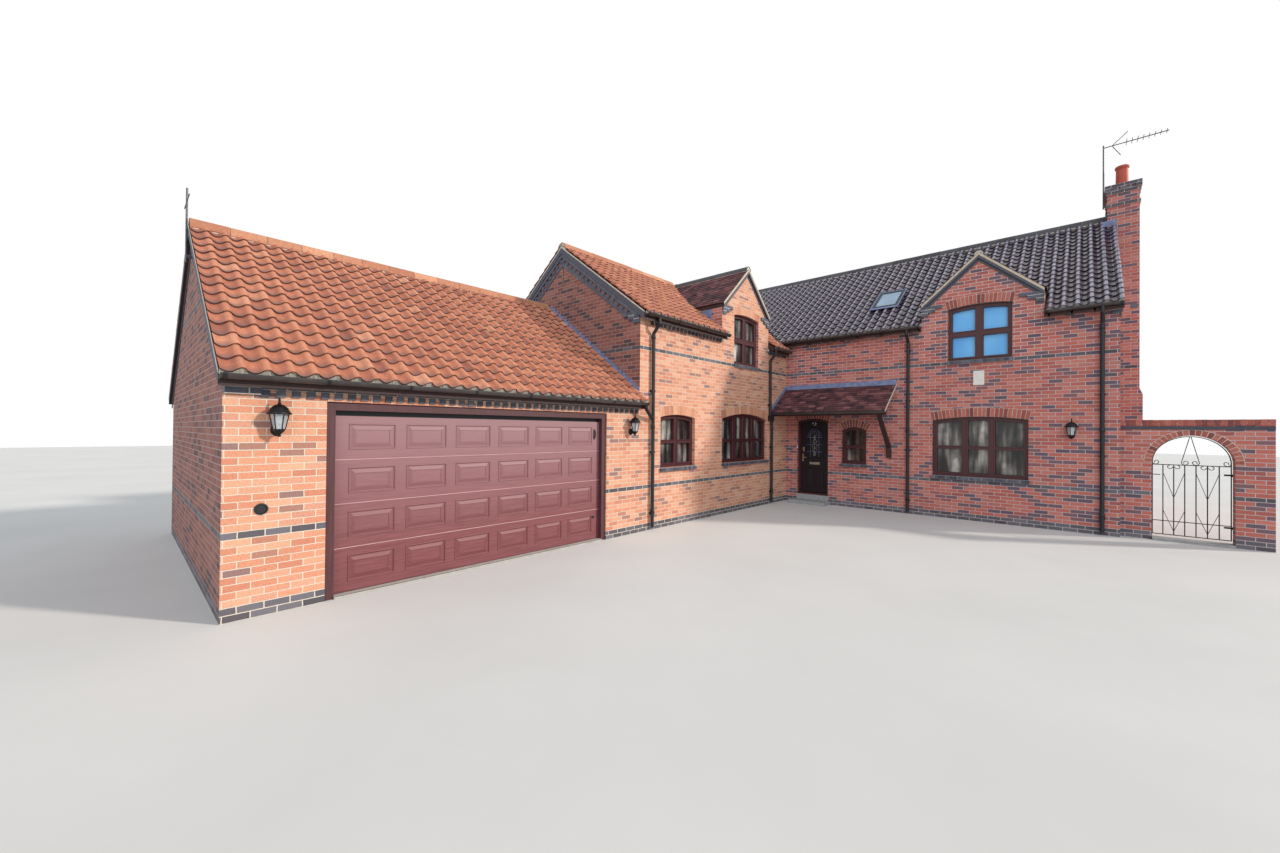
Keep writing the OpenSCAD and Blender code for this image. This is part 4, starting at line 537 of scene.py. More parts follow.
def lay(b, faces, tint, corners, keep=(), holes=(), gap=0.0, mark=None):
    """Adds a tile's faces, cut only where the tile crosses an outline."""
    near = [h for h in holes if not any(all(left_of(a, c, p) < -gap for p in corners) for a, c in sides(h))]
    lines = [(a, c) for a, c in keep if not all(left_of(a, c, p) > 0 for p in corners)]
    for pts, smooth, *edge in faces:
        for part in (carve(pts, lines, near, gap) if near or lines else [pts]):
            b.face(part, 0.0 if edge else tint, smooth, 0, [mark(p) for p in part] if mark else ())


def wave(s):
    """How near a share s of a pantile's width is to the top of its roll."""
    return (0.5 + 0.5 * math.cos(2 * math.pi * (s - 0.84))) ** 1.3


def pan(s):
    """The height of a pantile over its flat, at a share s of its width."""
    return 0.050 * wave(s) - 0.010 + 0.008 * s


# A pantile's width, gauge, height over the slab and rise over the tile below, and its facets across; a
# plain tile's width and gauge; and the gap round a hole.
PAN_WIDE, PAN_GAUGE, PAN_UP, PAN_LIFT, CUTS = 0.208, 0.245, 0.013, 0.026, 10
FLAT_WIDE, FLAT_GAUGE = 0.165, 0.1
HOLE_GAP = 0.03


def pantiles(b, eave, across, up, width, rows, holes=()):
    """Courses of pantiles on a slope: eave is the lower left corner of the slab's top face."""
    n = across.cross(up).normalized()
    count = round(width / PAN_WIDE)
    cover = width / count
    steps = [k / CUTS for k in range(CUTS + 1)]
    for j in range(rows):
        v0 = -0.045 + j * PAN_GAUGE
        v1 = v0 + PAN_GAUGE + 0.04
        for i in range(count):
            u0 = i * cover + rng.uniform(-0.002, 0.002)
            up_tail = PAN_UP + PAN_LIFT + rng.uniform(-0.003, 0.003)
            dv = rng.uniform(-0.003, 0.003)
            tail = [eave + across * (u0 + s * cover) + up * (v0 + dv) + n * (up_tail + pan(s)) for s in steps]
            head = [eave + across * (u0 + s * cover) + up * v1 + n * (PAN_UP + pan(s)) for s in steps]
            lip = [p - n * 0.018 + up * 0.002 for p in tail]
            faces = [((tail[k], tail[k + 1], head[k + 1], head[k]), True) for k in range(CUTS)]
            # The lip and the roll's side take the dark edge tone, partly painted shade.
            faces += [((lip[k], lip[k + 1], tail[k + 1], tail[k]), False, 1) for k in range(CUTS)]
            faces.append(((tail[-1], tail[-1] - n * 0.011, head[-1] - n * 0.011, head[-1]), False, 1))
            tint = min(1.0, max(0.06, rng.gauss(0.5, 0.17)))
            corners = [tail[0], tail[-1], head[0], head[-1]]

            def mark(p, u0=u0, v0=v0 + dv, v1=v1):
                q = p - eave
                return (q.dot(up) - v0) / (v1 - v0), wave((q.dot(across) - u0) / cover)

            lay(b, faces, tint, corners, (), holes, HOLE_GAP, mark)


def plain_tiles(b, eave, across, up, width, length, keep=()):
    """Courses of small flat tiles, staggered by half a tile from course to course."""
    n = across.cross(up).normalized()
    for j in range(int(length / FLAT_GAUGE) + 1):
        v0 = -0.03 + j * FLAT_GAUGE
        v1 = min(v0 + FLAT_GAUGE * 1.6, length)
        u = -FLAT_WIDE / 2 if j % 2 else 0.0
        while u < width - 0.01:
            a, c = max(u, 0.0) + 0.0015, min(u + FLAT_WIDE, width) - 0.0015
            u += FLAT_WIDE
            if c - a < 0.02:
                continue
            t = 0.026 + rng.uniform(-0.002, 0.003)
            p = [eave + across * k + up * v + n * h
                 for k, v, h in ((a, v0, t), (c, v0, t), (c, v1, 0.008), (a, v1, 0.008))]
            low = [q - n * 0.013 for q in p]
            faces = [(tuple(p), False), ((low[0], low[1], p[1], p[0]), False),
                     ((low[1], low[2], p[2], p[1]), False), ((low[3], low[0], p[0], p[3]), False)]
            lay(b, faces, min(1.0, max(0.0, rng.gauss(0.5, 0.25))), p, keep)


X, Y, Z = Vector((1, 0, 0)), Vector((0, 1, 0)), Vector((0, 0, 1))
LEN = math.sqrt(1 + T * T)
UP_MINUS_X, UP_PLUS_X = Vector((-1, 0, T)) / LEN, Vector((1, 0, T)) / LEN
UP_PLUS_Y, UP_MINUS_Y = Vector((0, 1, T)) / LEN, Vector((0, -1, T)) / LEN

# Garage: both slopes run from the near verge to the wing's gable.
b = Build()
gw = GAR_L + VERGE
gar_corner = Vector((EAVE, GAR_Y0 - VERGE, GAR_Z - T * EAVE))
pantiles(b, gar_corner, Y, UP_MINUS_X, gw, 16)
pantiles(b, Vector((-GAR_D - EAVE, -WING_L, GAR_Z - T * EAVE)), -Y, UP_PLUS_X, gw, 16,
         [oblong(-WING_D - EAVE, -WING_L, 0, -WING_L + 1)])
b.make("garage_tiles", [orange_tile])

# Wing: cut at the valleys with the main roof and round the dormer.
b = Build()
vx = EAVE - VALLEY  # where the valley meets the main eaves
main_near = [(vx, -EAVE), (6, -EAVE), (6, 9), (-WING_D / 2, WING_RIDGE_Y + 6), (-WING_D / 2, WING_RIDGE_Y)]
main_far = [(-WING_D - vx, -EAVE), (-WING_D / 2, WING_RIDGE_Y), (-WING_D / 2, 9), (-11, 9), (-11, -EAVE)]
wing_dormer = [(EAVE + 1, WDY - DH), (EAVE + 1, WDY + DH), (WD_SIDE, WDY + DH), (WD_BACK, WDY),
               (WD_SIDE, WDY - DH)]
ww = WING_L + VERGE + WING_RIDGE_Y
wing_corner = Vector((EAVE, -WING_L - VERGE, WING_Z - T * EAVE))
pantiles(b, wing_corner, Y, UP_MINUS_X, ww, 13, [main_near, wing_dormer])
pantiles(b, Vector((-WING_D - EAVE, WING_RIDGE_Y, WING_Z - T * EAVE)), -Y, UP_PLUS_X, ww, 13, [main_far])
b.make("wing_tiles", [orange_tile])

# Main block: cut at the wing, the dormer, the rooflight (corner, width and length) and the stack.
b = Build()
mw = WING_D + MAIN_W + 2 * VERGE
main_corner = Vector((-WING_D - VERGE, -EAVE, MAIN_Z - T * EAVE))
SKY_X, SKY_Y, SKY_W, SKY_L = 2.05, 0.87, 0.62, 0.98
sky_hole = oblong(SKY_X, SKY_Y, SKY_X + SKY_W, SKY_Y + SKY_L / LEN)
stack = oblong(6.68, 3.2, 8, 4.2)
wing_part = [(-WING_D - vx, -1.5), (vx, -1.5), (vx, -EAVE), (-WING_D / 2, WING_RIDGE_Y),
             (-WING_D - vx, -EAVE)]
main_dormer = [(MDX - DH, -1.5), (MDX + DH, -1.5), (MDX + DH, MD_SIDE), (MDX, MD_BACK), (MDX - DH, MD_SIDE)]
pantiles(b, main_corner, X, UP_PLUS_Y, mw, 19, [wing_part, main_dormer, sky_hole, stack])
pantiles(b, Vector((MAIN_W + VERGE, MAIN_D + EAVE, MAIN_Z - T * EAVE)), -X, UP_MINUS_Y, mw, 19, [stack])
b.make("main_tiles", [dark_tile])

# Dormers and porch in small plain tiles.
b = Build()
for c, top, eave_z, side, back, wing in ((MDX, MD_TOP, MD_EAVE, MD_SIDE, MD_BACK, 0),
                                         (WDY, WD_TOP, WD_EAVE, -WD_SIDE, -WD_BACK, 1)):
    k = (top - eave_z) / DH
    ln = math.sqrt(1 + k * k)
    for s in (-1, 1):
        foot = c + s * DH
        if wing:
            o, ac, up = Vector((VERGE, foot, eave_z)), -X, Vector((0, -s, k)) / ln
            va, vb, mid = (-side, foot), (-back, c), (0.0, c)
        else:
            o, ac, up = Vector((foot, -VERGE, eave_z)), Y, Vector((-s, 0, k)) / ln
            va, vb, mid = (foot, side), (c, back), (c, 0.0)
        if ac.cross(up).z < 0:
            o, ac = o + ac * (back + VERGE), -ac
        plain_tiles(b, o, ac, up, back + VERGE, DH * ln, [(va, vb) if left_of(va, vb, mid) > 0 else (vb, va)])
plain_tiles(b, Vector((0, -PORCH_D, PORCH_Z - T * PORCH_D)), X, UP_PLUS_Y, PORCH_W, PORCH_D * LEN)
b.make("plain_tiles", [plain_tile])


# Ridges: half-round tiles 450 mm long on a mortar bed.
def ridge(b, p0, p1, half=0.135, top=0.105, k=T, mat=0):
    """Ridge tiles from p0 to p1, and the bed under them: half their width, their rise, the roof's slope."""
    p0, p1 = Vector(p0), Vector(p1)
    d = (p1 - p0).normalized()
    side = Vector((-d.y, d.x, 0))
    total = (p1 - p0).length
    count = max(1, round(total / 0.45))
    step = total / count

    def bow(wide, rise, lift=0.0):
        return [side * (wide * math.cos(q)) + Z * (-0.045 + lift + rise * math.sin(q)) for q in sweep(14)]

    for i in range(count):
        a, c = p0 + d * (i * step + 0.004), p0 + d * ((i + 1) * step - 0.004)
        lift = rng.uniform(-0.003, 0.003)
        ring = [a + p for p in bow(half, top + 0.045, lift) + bow(half - 0.016, top + 0.029, lift)[::-1]]
        far = [p + (c - a) for p in ring]
        t = rng.random()
        b.sheet([ring[:15], far[:15]], t, True, mat)
        for r in (ring, far):
            for q in range(14):
                b.face((r[q], r[q + 1], r[28 - q], r[29 - q]), t, False, mat)
        for q in (0, 14):
            b.face((ring[q], far[q], far[29 - q], ring[29 - q]), t, False, mat)
    feet = [side * (s * (half - 0.012)) + Z * (-k * half) for s in (-1, 1)]
    ring = [p0 + d * 0.012 + p for p in bow(half - 0.012, top + 0.036) + feet]
    b.prism(ring, d * (total - 0.024), 0.5, 2)


b = Build()
for x, y0, y1, z in ((-GAR_D / 2, GAR_Y0 - VERGE, -WING_L - 0.011, GAR_TOP),
                     (-WING_D / 2, -WING_L - VERGE, WDY - 0.12, WING_TOP),
                     (-WING_D / 2, WDY + 0.12, WING_RIDGE_Y - 0.1, WING_TOP)):
    ridge(b, (x, y0, z), (x, y1, z))
ridge(b, (-WING_D - VERGE, MAIN_D / 2, MAIN_TOP), (6.67, MAIN_D / 2, MAIN_TOP), mat=1)
ridge(b, (VERGE, WDY, WD_TOP), (WD_BACK - 0.05, WDY, WD_TOP), 0.105, 0.075, 0.93, 1)
ridge(b, (MDX, -VERGE, MD_TOP), (MDX, MD_BACK - 0.05, MD_TOP), 0.105, 0.075, 0.89, 1)
b.make("ridge_courses", [ridge_orange, ridge_dark, mortar], replaces=["ridge_tiles"])

# Mortar under the eaves tiles, behind their tails.
b = Build()


def eaves_fill(eave, across, up, width, holes=(), mat=0):
    n = across.cross(up).normalized()
    count = round(width / PAN_WIDE)
    cover = width / count
    for i in range(count):
        mid = eave + across * ((i + 0.5) * cover)
        if any(lo < mid[axis] < hi for axis, lo, hi in holes):
            continue
        for k in range(11):
            pts = []
            for s in (k / 11, (k + 1) / 11):
                base = eave + across * ((i + s) * cover) - up * (0.036 + 0.003 * math.sin(40 * (i + s)))
                pts.append((base - n * 0.010, base + n * (0.021 + pan(s))))
            b.face((pts[0][0], pts[1][0], pts[1][1], pts[0][1]), 0.5, True, mat)


eaves_fill(gar_corner, Y, UP_MINUS_X, gw)
eaves_fill(wing_corner, Y, UP_MINUS_X, ww, [(1, WDY - DH, WDY + DH), (1, -EAVE, 9.0)])
eaves_fill(main_corner, X, UP_PLUS_Y, mw, [(0, MDX - DH, MDX + DH), (0, -9.0, vx)], 1)
b.make("eaves_mortar", [mortar, concrete])


# ---------- brick trim ----------
def on_wall(wall):
    """A wall's own flat drawing: (along, height, out from the face) to a point."""
    return {"main": lambda a, z, o: Vector((a, -o, z)),
            "wing": lambda a, z, o: Vector((o, a, z)),
            "rear": lambda a, z, o: Vector((a, MAIN_D + o, z)),
            "back": lambda a, z, o: Vector((-WING_D - o, a, z)),
            "near": lambda a, z, o: Vector((a, GAR_Y0 - o, z)),
            "gable": lambda a, z, o: Vector((a, -WING_L - o, z)),
            "right": lambda a, z, o: Vector((MAIN_W + o, a, z)),
            "garden": lambda a, z, o: Vector((a, GARDEN_Y - o, z)),
            "garden_back": lambda a, z, o: Vector((a, GARDEN_BACK + o, z))}[wall]


def slab(b, at, pts, o0, o1, tint=0.5, mat=0):
    """An outline on a wall, from o0 to o1 out of its face."""
    b.prism([at(a, z, o0) for a, z in pts], at(0, 0, o1) - at(0, 0, o0), tint, mat)


def arch(b, at, c, w, spring, rise, depth, ring=False, mat=0):
    """Bricks on end round a segmental head, or round a half circle, on a bed of mortar."""
    r = (w * w / 4 + rise * rise) / (2 * rise)
    zc = spring + rise - r
    half = math.pi / 2 if ring else math.asin(w / 2 / r) + 0.012 / r
    count = round(2 * half * (r + depth / 2) / COURSE)
    step = 2 * half / count

    def point(q, rad):
        return c + rad * math.sin(q), zc + rad * math.cos(q)

    arc = [-half + i * step / 2 for i in range(2 * count + 1)]
    bed = [point(q, r + depth + 0.004) for q in arc] + [point(q, r + 0.001) for q in reversed(arc)]
    for i in range(2 * count):
        slab(b, at, [bed[i], bed[i + 1], bed[-2 - i], bed[-1 - i]], 0.0006, 0.0016, 0.5, 1)
    for i in range(count):
        q0, q1 = -half + i * step + 0.0045 / r, -half + (i + 1) * step - 0.0045 / r
        o = 0.0045 + rng.uniform(-0.001, 0.001)
        pts = [point(q, rad) for q, rad in oblong(q0, r + 0.002, q1, r + depth - 0.003)]
        slab(b, at, pts, 0.0008, o, rng.random(), mat)


# Windows: wall, middle, width, sill, springing, rise, mullions and their width, transom and its height.
WIDE = 1.765, 0.975, SPRING, 0.078, [-0.2495, 0.2495], 0.074, 1.632, 0.046
UPPER = 1.19, 3.6, 4.795, 0.06, [0], 0.102, 4.215, 0.102
PAIR = 1.17, 1.2, SPRING, 0.06, [0], 0.08, 1.73, 0.046
wins = [("main", 4.538, *WIDE), ("main", 1.874, 0.618, 1.13, 2.0, 0.09, [], 0.06, 1.573, 0.046),
        ("main", MDX, *UPPER), ("wing", WDY, 2.2, 1.2, SPRING, 0.14, [-0.455, 0, 0.455], 0.074, 1.73, 0.046),
        ("wing", -4.97, 1.17, 1.2, 2.23, 0.06, [0], 0.08, 1.73, 0.046), ("wing", WDY, *UPPER),
        ("rear", 4.89, *WIDE), ("rear", 2.495, *WIDE),
        ("rear", -2.4, 1.17, 0.975, SPRING, 0.06, [0], 0.08, 1.632, 0.046), ("back", -3.09, *PAIR),
        ("back", 3.7, *UPPER), ("back", 3.7, *PAIR)]
b = Build()
# Arches on the wing take the paler copy: painted sunlight.
for wall, c, w, z0, spring, rise, *_ in wins:
    arch(b, on_wall(wall), c, w, spring, rise, 0.2 if w > 1 else 0.19, mat=2 if wall == "wing" else 0)
arch(b, on_wall("main"), DOOR_X, DOOR_W, SPRING, 0.072, 0.2)
for wall in ("garden", "garden_back"):
    arch(b, on_wall(wall), GATE_X, 1.0, 1.45, 0.5, 0.103, ring=True)
b.make("arch_bricks", [arch_brick, mortar, sunlit_arch_brick])

# Sills of blue bricks on edge, and the garden wall's coping over a dark creasing course.
b = Build()
for wall, c, w, z0, *_ in wins:
    n = round((w + 0.04) / COURSE)
    step = (w + 0.04) / n
    for i in range(n):
        a = c - w / 2 - 0.02 + i * step
        slab(b, on_wall(wall), oblong(a + 0.004, z0 - 0.072, a + step - 0.004, z0 - 0.003), 0.045, 0.0495,
             rng.random())
b.make("sill_bricks", [blue_brick_tile])
b = Build()
n = 25
for i in range(n):
    x = MAIN_W + 0.003 + i * (1.857 / n)
    b.box((x, 0.185, 2.132), (x + 0.066, 0.43, 2.2385 + rng.uniform(-0.0015, 0.0015)), rng.random())
for y0, y1 in ((0.183, GARDEN_Y), (GARDEN_BACK, 0.432)):
    b.box((MAIN_W + 0.001, y0, 2.06), (8.649, y1, 2.118), 0.2, 1)
b.make("coping_bricks", [arch_brick, blue_brick_tile])

# Rakes of the gables: a mortar line under the tiles, a blue course, and dentils where the photo has them.
b = Build()
CREAM, BLUE, RED, MORTAR = range(4)


def rake(wall, apex, foot, dentils=False, course=True, dormer=False):
    da, dz = foot[0] - apex[0], foot[1] - apex[1]
    under = DORMER_V if dormer else ROOF_V

    def strip(v0, v1, o0, o1, s0=0.0, s1=1.0, mat=BLUE, tint=0.5):
        """A strip of the rake from v0 to v1 under its line, o0 to o1 out of the wall."""
        (a0, z0), (a1, z1) = [(apex[0] + da * s, apex[1] + dz * s) for s in (s0, s1)]
        slab(b, on_wall(wall), [(a0, z0 - v0), (a1, z1 - v0), (a1, z1 - v1), (a0, z0 - v1)], o0, o1, tint,
             mat)

    edge = 0.045 if dormer else 0.02
    strip(-0.012, edge, VERGE, VERGE + 0.005, mat=CREAM if dormer else MORTAR)
    if dentils:
        strip(edge, under, VERGE, VERGE + 0.003)
        n = int(math.hypot(da, dz) / 0.15)
        strip(under, under + 0.08, 0.001, 0.042)
        for i in range(n):
            strip(under + 0.082, under + 0.155, 0.001, 0.03, (i + 0.1) / n, (i + 0.58) / n, RED, rng.random())
        # The strip between the dentils takes the darkest tone: painted shade in the gaps.
        strip(under + 0.08, under + 0.157, 0.001, 0.004, tint=0.1)
        strip(under + 0.157, under + 0.235, 0.001, 0.016)
    else:
        strip(edge, under + 0.002, VERGE, VERGE + 0.003)
        if course:
            strip(under + 0.002, under + 0.072, 0.001, 0.014)


for wall, depth, top, eave_z in (("gable", WING_D, WING_TOP, WING_Z), ("near", GAR_D, GAR_TOP, GAR_Z)):
    for foot in (EAVE, -depth - EAVE):
        rake(wall, (-depth / 2, top), (foot, eave_z - T * EAVE), course=wall == "near")
for s in (-1, 1):
    rake("right", (MAIN_D / 2 + s * 0.5, MAIN_TOP - T * 0.5), (MAIN_D / 2 + s * 3.72, MAIN_TOP - T * 3.72),
         True)
    run = 3.72 if s > 0 else 3.3
    rake("back", (MAIN_D / 2, MAIN_TOP), (MAIN_D / 2 + s * run, MAIN_TOP - T * run))
    rake("main", (MDX, MD_TOP), (MDX + s * DH, MD_EAVE), dormer=True)
    rake("wing", (WDY, WD_TOP), (WDY + s * DH, WD_EAVE), dormer=True)
b.make("gable_rakes", [cream, blue_brick_tile, arch_brick, mortar])

# Beds between the courses of the blue kneelers.
b = Build()


def bed(wall, a0, a1, z, upright=None):
    slab(b, on_wall(wall), oblong(a0, z - 0.005, a1, z + 0.005), DENT, DENT + BED)
    if upright:
        slab(b, on_wall(wall), oblong(upright, z, upright + 0.01, z + 0.07), DENT, DENT + BED)


e = GAR_Z - ROOF_V - T * DENT
bed("wing", GAR_Y0, GAR_Y0 + 0.3, e - COURSE, GAR_Y0 + 0.14)
bed("wing", GAR_Y0, GAR_Y0 + 0.3, e - 2 * COURSE + 0.004, GAR_Y0 + 0.2)
bed("main", MAIN_W - 0.112, MAIN_W, MAIN_Z - ROOF_V - T * DENT - COURSE)
for s in (-1, 1):
    for c, wall, e in ((MDX, "main", MD_EAVE - DORMER_V), (WDY, "wing", WD_EAVE - DORMER_V)):
        for k, ln in ((1, 0.14), (0, 0.28)):
            a, d = c + s * DH, c + s * DH - s * ln
            bed(wall, min(a, d), max(a, d), e - k * COURSE)
for k, ln in ((1, 0.15), (0, 0.3)):
    bed("gable", -ln, 0.0, WING_Z - ROOF_V - k * COURSE)
b.make("kneeler_beds", [mortar])

# Single blue bricks that stand out under the main eaves.
b = Build()
z = MAIN_Z - ROOF_V - 0.048
for k in range(8):
    x = 0.62 + k * 0.9
    if not MDX - DH - 0.3 < x < MDX + DH + 0.3:
        b.box((x, -0.06, z - 0.065), (x + 0.103, 0.0, z), rng.random())
b.make("eaves_corbels", [blue_brick_tile])

# The eaves' dentil courses, brick by brick: blue ends under a plain blue course.
b = Build()
PLAIN = 1.85 * COURSE
gz, wz = [top - T * 0.022 - PLAIN for top in (2.4297, 4.1897)]
for y0, y1, z in ((GAR_Y0 + 0.3, -WING_L, gz), (-WING_L + 0.3, WDY - DH, wz), (WDY + DH, 0.0, wz)):
    b.box((0.0, y0, z + COURSE), (0.019, y1, z + PLAIN), 0.5, 1)
    for k in range(int((y1 - y0) / 0.225) + 1):
        y = y0 + k * 0.225
        b.box((0.0, y + 0.004, z + COURSE + 0.004), (0.022, min(y + 0.221, y1), z + PLAIN - 0.001),
              rng.random())
    for k in range(int((y1 - y0 - 0.078) / 0.135) + 1):
        y = y0 + k * 0.135
        b.box((0.0, y, z + 0.002), (0.022 + rng.uniform(-0.002, 0.0), y + 0.078, z + COURSE), rng.random())
b.make("eaves_dentils", [blue_brick_tile, mortar], replaces=["dentil_courses"])

# Louvres of the slit vents in the gables.
b = Build()
for wall, c, top in (("gable", -WING_D / 2, WING_TOP), ("near", -GAR_D / 2, GAR_TOP)):
    at, z0 = on_wall(wall), top - 0.78
    slab(b, at, oblong(c - 0.03, z0, c + 0.03, top - 0.45), -0.08, -0.07)
    for k in range(5):
        z = z0 + 0.03 + k * 0.06
        slab(b, at, oblong(c - 0.03, z, c + 0.03, z + 0.03), -0.07, -0.03)
b.make("vent_louvres", [black_plastic])

# ---------- windows ----------
# A sash's section: how far in from the opening's edge, and out of the wall.
SASH = ((-0.009, -0.0795), (-0.009, -0.072), (-0.006, -0.070), (0.028, -0.070), (0.036, -0.077),
        (0.038, -0.139))
b = Build()
for wall, c, w, z0, spring, rise, mull, mw, tr, th in wins:
    at = on_wall(wall)
    r = (w * w / 4 + rise * rise) / (2 * rise)

    def top(a):
        return spring + rise - r + math.sqrt((r - 0.06) ** 2 - (a - c) ** 2)

    edges = [c - w / 2 + 0.06]
    for m in mull:
        edges += [c + m - mw / 2, c + m + mw / 2]
    edges.append(c + w / 2 - 0.06)
    for i in range(0, len(edges), 2):
        a0, a1 = edges[i], edges[i + 1]
        for low, high in ((z0 + 0.06, tr - th / 2), (tr + th / 2, None)):
            def outline(g):
                side, bar = (g * 0.72, g * 0.4) if g > 0 else (g, g)
                lo, hi = a0 + side, a1 - side
                xs = [hi + (lo - hi) * k / 6 for k in range(7)]
                head = [(x, top(x) - side if high is None else high - bar) for x in xs]
                foot = low + (bar if high is None else side)
                return [(lo, foot), (hi, foot)] + head
            b.sheet([[at(a, z, o) for a, z in outline(g)] for g, o in SASH], 0.5, False, 0, closed=True)
b.make("casement_sashes", [mahogany])

# ---------- garage door ----------
# A raised panel's section: how far in from its edge, and its height in X.
PANEL = ((-0.012, -0.1046), (-0.009, -0.0990), (-0.004, -0.0970), (0.001, -0.0985), (0.005, -0.1080),
         (0.010, -0.1122), (0.018, -0.1124), (0.058, -0.0990), (0.064, -0.0982), (0.068, -0.1042),
         (0.072, -0.1044))
b = Build()
# The leaf's start, width and foot, a section's height, and the spacing and size of its panels.
gy0, gwide, gz0, rh = -11.285, 4.15, 0.03, 2.07 / 4
cw = (gwide - 0.19) / 6
pw, ph = cw - 0.153, 0.288
for i in range(4):
    for j in range(6):
        y = gy0 + 0.095 + 0.0765 + j * cw
        z = gz0 + i * rh + 0.13
        rings = [[Vector((x, *p)) for p in oblong(y + g, z + g, y + pw - g, z + ph - g)] for g, x in PANEL]
        b.sheet(rings, 0.5, False, 0, closed=True)
        b.face(rings[-1])
    z = gz0 + i * rh
    # The lips at the section joints take the pale material: painted highlight.
    if i:
        b.prism([Vector((x, gy0, z + h)) for x, h in ((-0.108, -0.004), (-0.101, -0.004), (-0.098, -0.001),
                                                      (-0.098, 0.004), (-0.101, 0.007), (-0.108, 0.007))],
                Vector((0, gwide, 0)), 0.5, 2)
# A black strip behind the gap over the leaf: partly a seal, partly painted shade under the door head.
b.box((-0.140, gy0, gz0 + 4 * rh + 0.001), (-0.125, gy0 + gwide, 2.159), 0.5, 1)
b.box((-0.1046, -7.262, 1.79), (-0.098, -7.232, 1.97), 0.5, 1)
b.rod([Vector((x, -7.247, z)) for x, z in ((-0.100, 1.94), (-0.074, 1.935), (-0.068, 1.90), (-0.074, 1.83),
                                           (-0.100, 1.82))], 0.007, 8, 0.5, 1)
b.box((-0.1046, -7.29, 0.40), (-0.096, -7.235, 0.44), 0.5, 1)
b.make("garage_door_mouldings", [garage_red, black_plastic, garage_lip_highlight])
b = Build()
b.prism([Vector((x, gy0, z)) for x, z in ((-0.098, 0.0), (0.010, 0.0), (0.010, 0.016), (-0.006, 0.0306),
                                          (-0.098, 0.0306))], Vector((0, gwide, 0)))
b.make("garage_sill", [concrete])

# ---------- front door ----------
b = Build()
FACE_Y = 0.154
LEAD_Y = FACE_Y + 0.012
LOW, ARC = 1.255, 1.82


def on_door(x, z, y=LEAD_Y):
    """A point on the leaf, x from its middle."""
    return Vector((DOOR_X + x, y, z))


def bow(rad, angles, y=LEAD_Y):
    """Points on an arc over the door glass."""
    return [on_door(rad * math.cos(q), ARC + rad * math.sin(q), y) for q in angles]


for x in (-0.12, 0.12):
    b.rod([on_door(x, LOW), on_door(x, ARC + 0.12)], 0.0035, 6)
for z in (1.40, 1.60, 1.80):
    b.rod([on_door(-0.225, z), on_door(0.225, z)], 0.0035, 6)
for rad in (0.145, 0.195):
    b.rod(bow(rad, sweep(16)), 0.0035, 6)
for q in (0.4, 1.0, 1.57, 2.14, 2.74):
    b.rod(bow(0.06, [q]) + bow(0.145, [q]), 0.0035, 6)
for k in range(5):
    z = 1.34 + k * 0.115
    half = 0.03 + 0.022 * (2 - abs(k - 2))
    b.rod([on_door(half * math.sin(q), z + 0.055 * math.cos(q)) for q in sweep(12, 2 * math.pi)], 0.003, 6,
          0.5, 1)
    b.rod([on_door(0.0, z - 0.055), on_door(0.0, z + 0.055)], 0.0025, 6, 0.5, 1)
b.make("door_leading", [lead, chrome], body="front_door")
b = Build()
for s in (-1, 1):
    c = DOOR_X + s * 0.155
    rings = [[Vector((c + sx * (0.115 - d), FACE_Y - o, 0.69 + sz * (0.27 - d)))
              for sx, sz in oblong(-1, -1, 1, 1)]
             for d, o in ((0.0, 0.008), (0.006, 0.014), (0.018, 0.014), (0.026, 0.004), (0.05, 0.002),
                          (0.062, 0.009))]
    b.sheet(rings, 0.5, False, 0, closed=True)
    b.face(rings[-1])
    for k in range(3):
        x = c - 0.03 + k * 0.03
        b.rod([Vector((x, FACE_Y - 0.0095, z)) for z in (0.48, 0.90)], 0.004, 6)
feet = [on_door(x, LOW - 0.012, FACE_Y - 0.010) for x in (0.238, -0.238)]
b.rod([feet[0], *bow(0.238, sweep(24), FACE_Y - 0.010), feet[1], feet[0]], 0.008, 8)
b.make("door_mouldings", [door_wood], body="front_door")
b = Build()
shoe = [on_door(0.042 * math.cos(q), 2.185 + 0.05 * math.sin(q), FACE_Y - 0.006)
        for q in (math.radians(125 + 290 * k / 16) for k in range(17))]
b.rod(shoe, 0.007, 8)
for i in (2, 5, 11, 14):
    b.lathe((shoe[i].x, shoe[i].y - 0.009, shoe[i].z - 0.002), [(0.003, 0), (0.003, 0.004)], 6)
b.box((DOOR_X - 0.125, FACE_Y - 0.018, 1.062), (DOOR_X + 0.145, FACE_Y - 0.012, 1.108))
b.rod([on_door(x, 1.085, FACE_Y - 0.019) for x in (-0.12, 0.14)], 0.006, 8)
b.make("door_trim", [chrome], body="front_door")
b = Build()
kx = DOOR_X - (DOOR_W - 0.11 - 0.016) / 2 + 0.075
b.rod([Vector((kx + x, FACE_Y - o, z)) for x, o, z in
       ((-0.012, 0.03, 1.50), (-0.018, 0.036, 1.45), (0.0, 0.038, 1.415), (0.018, 0.036, 1.45),
        (0.012, 0.03, 1.50))], 0.005, 8)
b.lathe((kx, FACE_Y - 0.02, 1.495), [(0.010, 0), (0.014, 0.012), (0.008, 0.024)], 10)
b.make("door_knocker", [brass], body="front_door")


